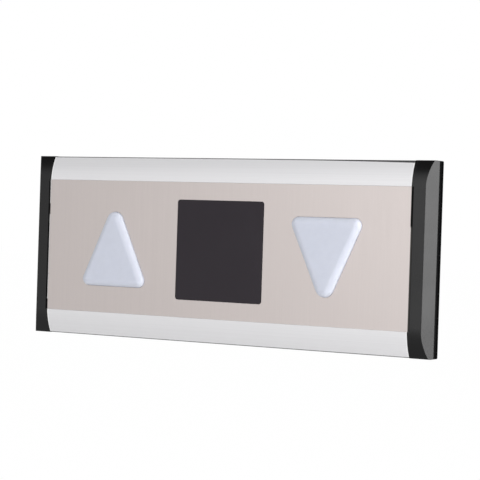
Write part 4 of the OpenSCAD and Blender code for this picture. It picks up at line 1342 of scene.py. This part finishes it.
class INDICATOR_OT_ink(bpy.types.Operator):
    """Prints outlines and pin marks on the display board, and ON and 1 to 4 on the address switch"""

    bl_idname = "indicator.ink"
    bl_label = "Printed marks"

    def execute(self, context):
        ink = printed_ink()
        line_width, spot, chip_spot = 0.2, 0.4, 0.45
        parts = [tracks(self.outlines(), line_width, 0.05, board_rear())]
        parts.append(tracks(self.plus_signs(), line_width, 0.055, board_rear()))
        first_pins = on_board([(-16.4, 8.2), (3.5, 14.0), (3.5, 3.0), (-18.3, -5.6)])
        parts.append(mounds(first_pins, spot, spot, ((1, 0), (1, 0.03), (0.8, 0.05))))
        chip_top = corners("controller_chip")[1][Y]
        first_pins = at_depth([(-13.0, 10.0), (5.7, 17.0), (5.7, 6.0)], chip_top)
        parts.append(mounds(first_pins, chip_spot, chip_spot, ((1, -0.01), (1, 0.01), (0.75, 0.015))))
        joined("board_marks", parts, ink, "white_plastic", 30)
        self.polarity_marks()
        self.switch_marks(ink)
        return {"FINISHED"}

    def outlines(self):
        """The four sides of each part's printed outline, given by its middle and its half sizes"""
        boxes = np.array(
            [
                (*CONTROLLER, 6.5, 6.5),
                (DRIVER_MIDDLE_X, DRIVER_Z[0], 5.7, 4.4),
                (DRIVER_MIDDLE_X, DRIVER_Z[1], 5.7, 4.4),
                (*HEADER, 6.5, 4.4),
                (SWITCH_X, SWITCH_MIDDLE_Z, 4.5, 5.8),
                (*BUTTON, 4.3, 3.5),
                (*CAPACITORS[0], 3.05, 3.7),
                (*CAPACITORS[1], 3.05, 3.7),
                (REGULATOR[0], -20.2, 4.0, 5.3),
            ]
        )
        corner = np.array([(-1, -1), (1, -1), (1, 1), (-1, 1)])
        sides = np.stack([corner, np.roll(corner, -1, 0)], 1)
        return (boxes[:, None, None, :2] + sides * boxes[:, None, None, 2:]).reshape(-1, 2, 2)

    def plus_signs(self):
        """Two strokes that cross beside each capacitor"""
        half_length = 0.5
        across = half_length * np.array([[-1, 0], [1, 0]])
        strokes = np.stack([across, across[:, ::-1]])
        return np.concatenate([place + strokes for place in ([-19.2, -15.6], [-12.4, -15.6])])

    def polarity_marks(self):
        """A black segment on each can: the arc (-R cos a, R sin a), closed by the chord at its ends"""
        radius, chord, steps, sunk, raised = 2.42, 1.15, 25, 0.02, 0.012
        a = np.linspace(-1, 1, steps) * math.acos(chord / radius)
        x, z = middles(CAPACITORS)
        levels = corners("smoothing_capacitors")[1][Y] + np.array([[-sunk], [raised]])
        segments = ringed(x - radius * np.cos(a), levels, z + radius * np.sin(a))
        black = moulded("can_mark_black", (0.015, 0.015, 0.016), 0.5, 5.0, 0.3)
        joined("can_marks", [segments], black, "capacitor", 30)

    def switch_marks(self, ink):
        """ON and 1 to 4 in the default face, made meshes, turned so that their top points along +X"""
        top = corners("dip_switch_case")[1][Y]
        word_x, digit_x, word_height, digit_height, raised = 7.05, 2.1, 1.25, 1.3, 0.012
        words = [("ON", word_x, SWITCH_Z[3] - 0.1, word_height)]
        words += [(str(i + 1), digit_x, SWITCH_Z[i], digit_height) for i in range(4)]
        parts = []
        for word, x, z, height in words:
            curve = bpy.data.curves.new("mark", "FONT")
            curve.body = word
            curve.size = height * MM
            curve.extrude = raised * MM
            curve.align_x = "CENTER"
            text = bpy.data.objects.new("mark", curve)
            mesh = bpy.data.meshes.new_from_object(text)
            flat = np.zeros(len(mesh.vertices) * 3)
            mesh.vertices.foreach_get("co", flat)
            points = flat.reshape(-1, 3)[:, [Y, Z, X]] / MM + [x, top, z]
            parts.append((points, [np.array([face.vertices[:]]) for face in mesh.polygons]))
            bpy.data.objects.remove(text)
            bpy.data.curves.remove(curve)
            bpy.data.meshes.remove(mesh)
        joined("switch_marks", parts, ink, "white_plastic", 30)


STEPS = (
    INDICATOR_OT_stage,
    INDICATOR_OT_housing,
    INDICATOR_OT_lips,
    INDICATOR_OT_lenses,
    INDICATOR_OT_wall_plate,
    INDICATOR_OT_boards,
    INDICATOR_OT_hardware,
    INDICATOR_OT_ribbons,
    INDICATOR_OT_tracks,
    INDICATOR_OT_solder,
    INDICATOR_OT_small_parts,
    INDICATOR_OT_ink,
)
GROUPS = {
    "indicator_sizes": IndicatorSizes,
    "indicator_colours": IndicatorColours,
    "indicator_stage": StageSettings,
}


class INDICATOR_PT_panel(bpy.types.Panel):
    """Lists the settings and the steps"""

    bl_idname = "INDICATOR_PT_panel"
    bl_label = "Floor indicator"
    bl_space_type = "VIEW_3D"
    bl_region_type = "UI"
    bl_category = "Indicator"

    def draw(self, context):
        for name in GROUPS:
            group = getattr(context.scene, name)
            box = self.layout.box()
            for key in group.__annotations__:
                box.prop(group, key)
        for step in STEPS:
            self.layout.operator(step.bl_idname)


def register():
    """Registers the classes and hangs the settings on the scene"""
    for item in (*GROUPS.values(), *STEPS, INDICATOR_PT_panel):
        bpy.utils.register_class(item)
    for name, group in GROUPS.items():
        setattr(bpy.types.Scene, name, bpy.props.PointerProperty(type=group))


def unregister():
    """Takes the settings off the scene and unregisters the classes"""
    for name in GROUPS:
        delattr(bpy.types.Scene, name)
    for item in (INDICATOR_PT_panel, *reversed(STEPS), *reversed(GROUPS.values())):
        bpy.utils.unregister_class(item)


def main():
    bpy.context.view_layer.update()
    register()
    bpy.context.scene.view_settings.view_transform = "Standard"
    for step in STEPS:
        group, name = step.bl_idname.split(".")
        getattr(getattr(bpy.ops, group), name)()


if __name__ == "__main__":
    main()
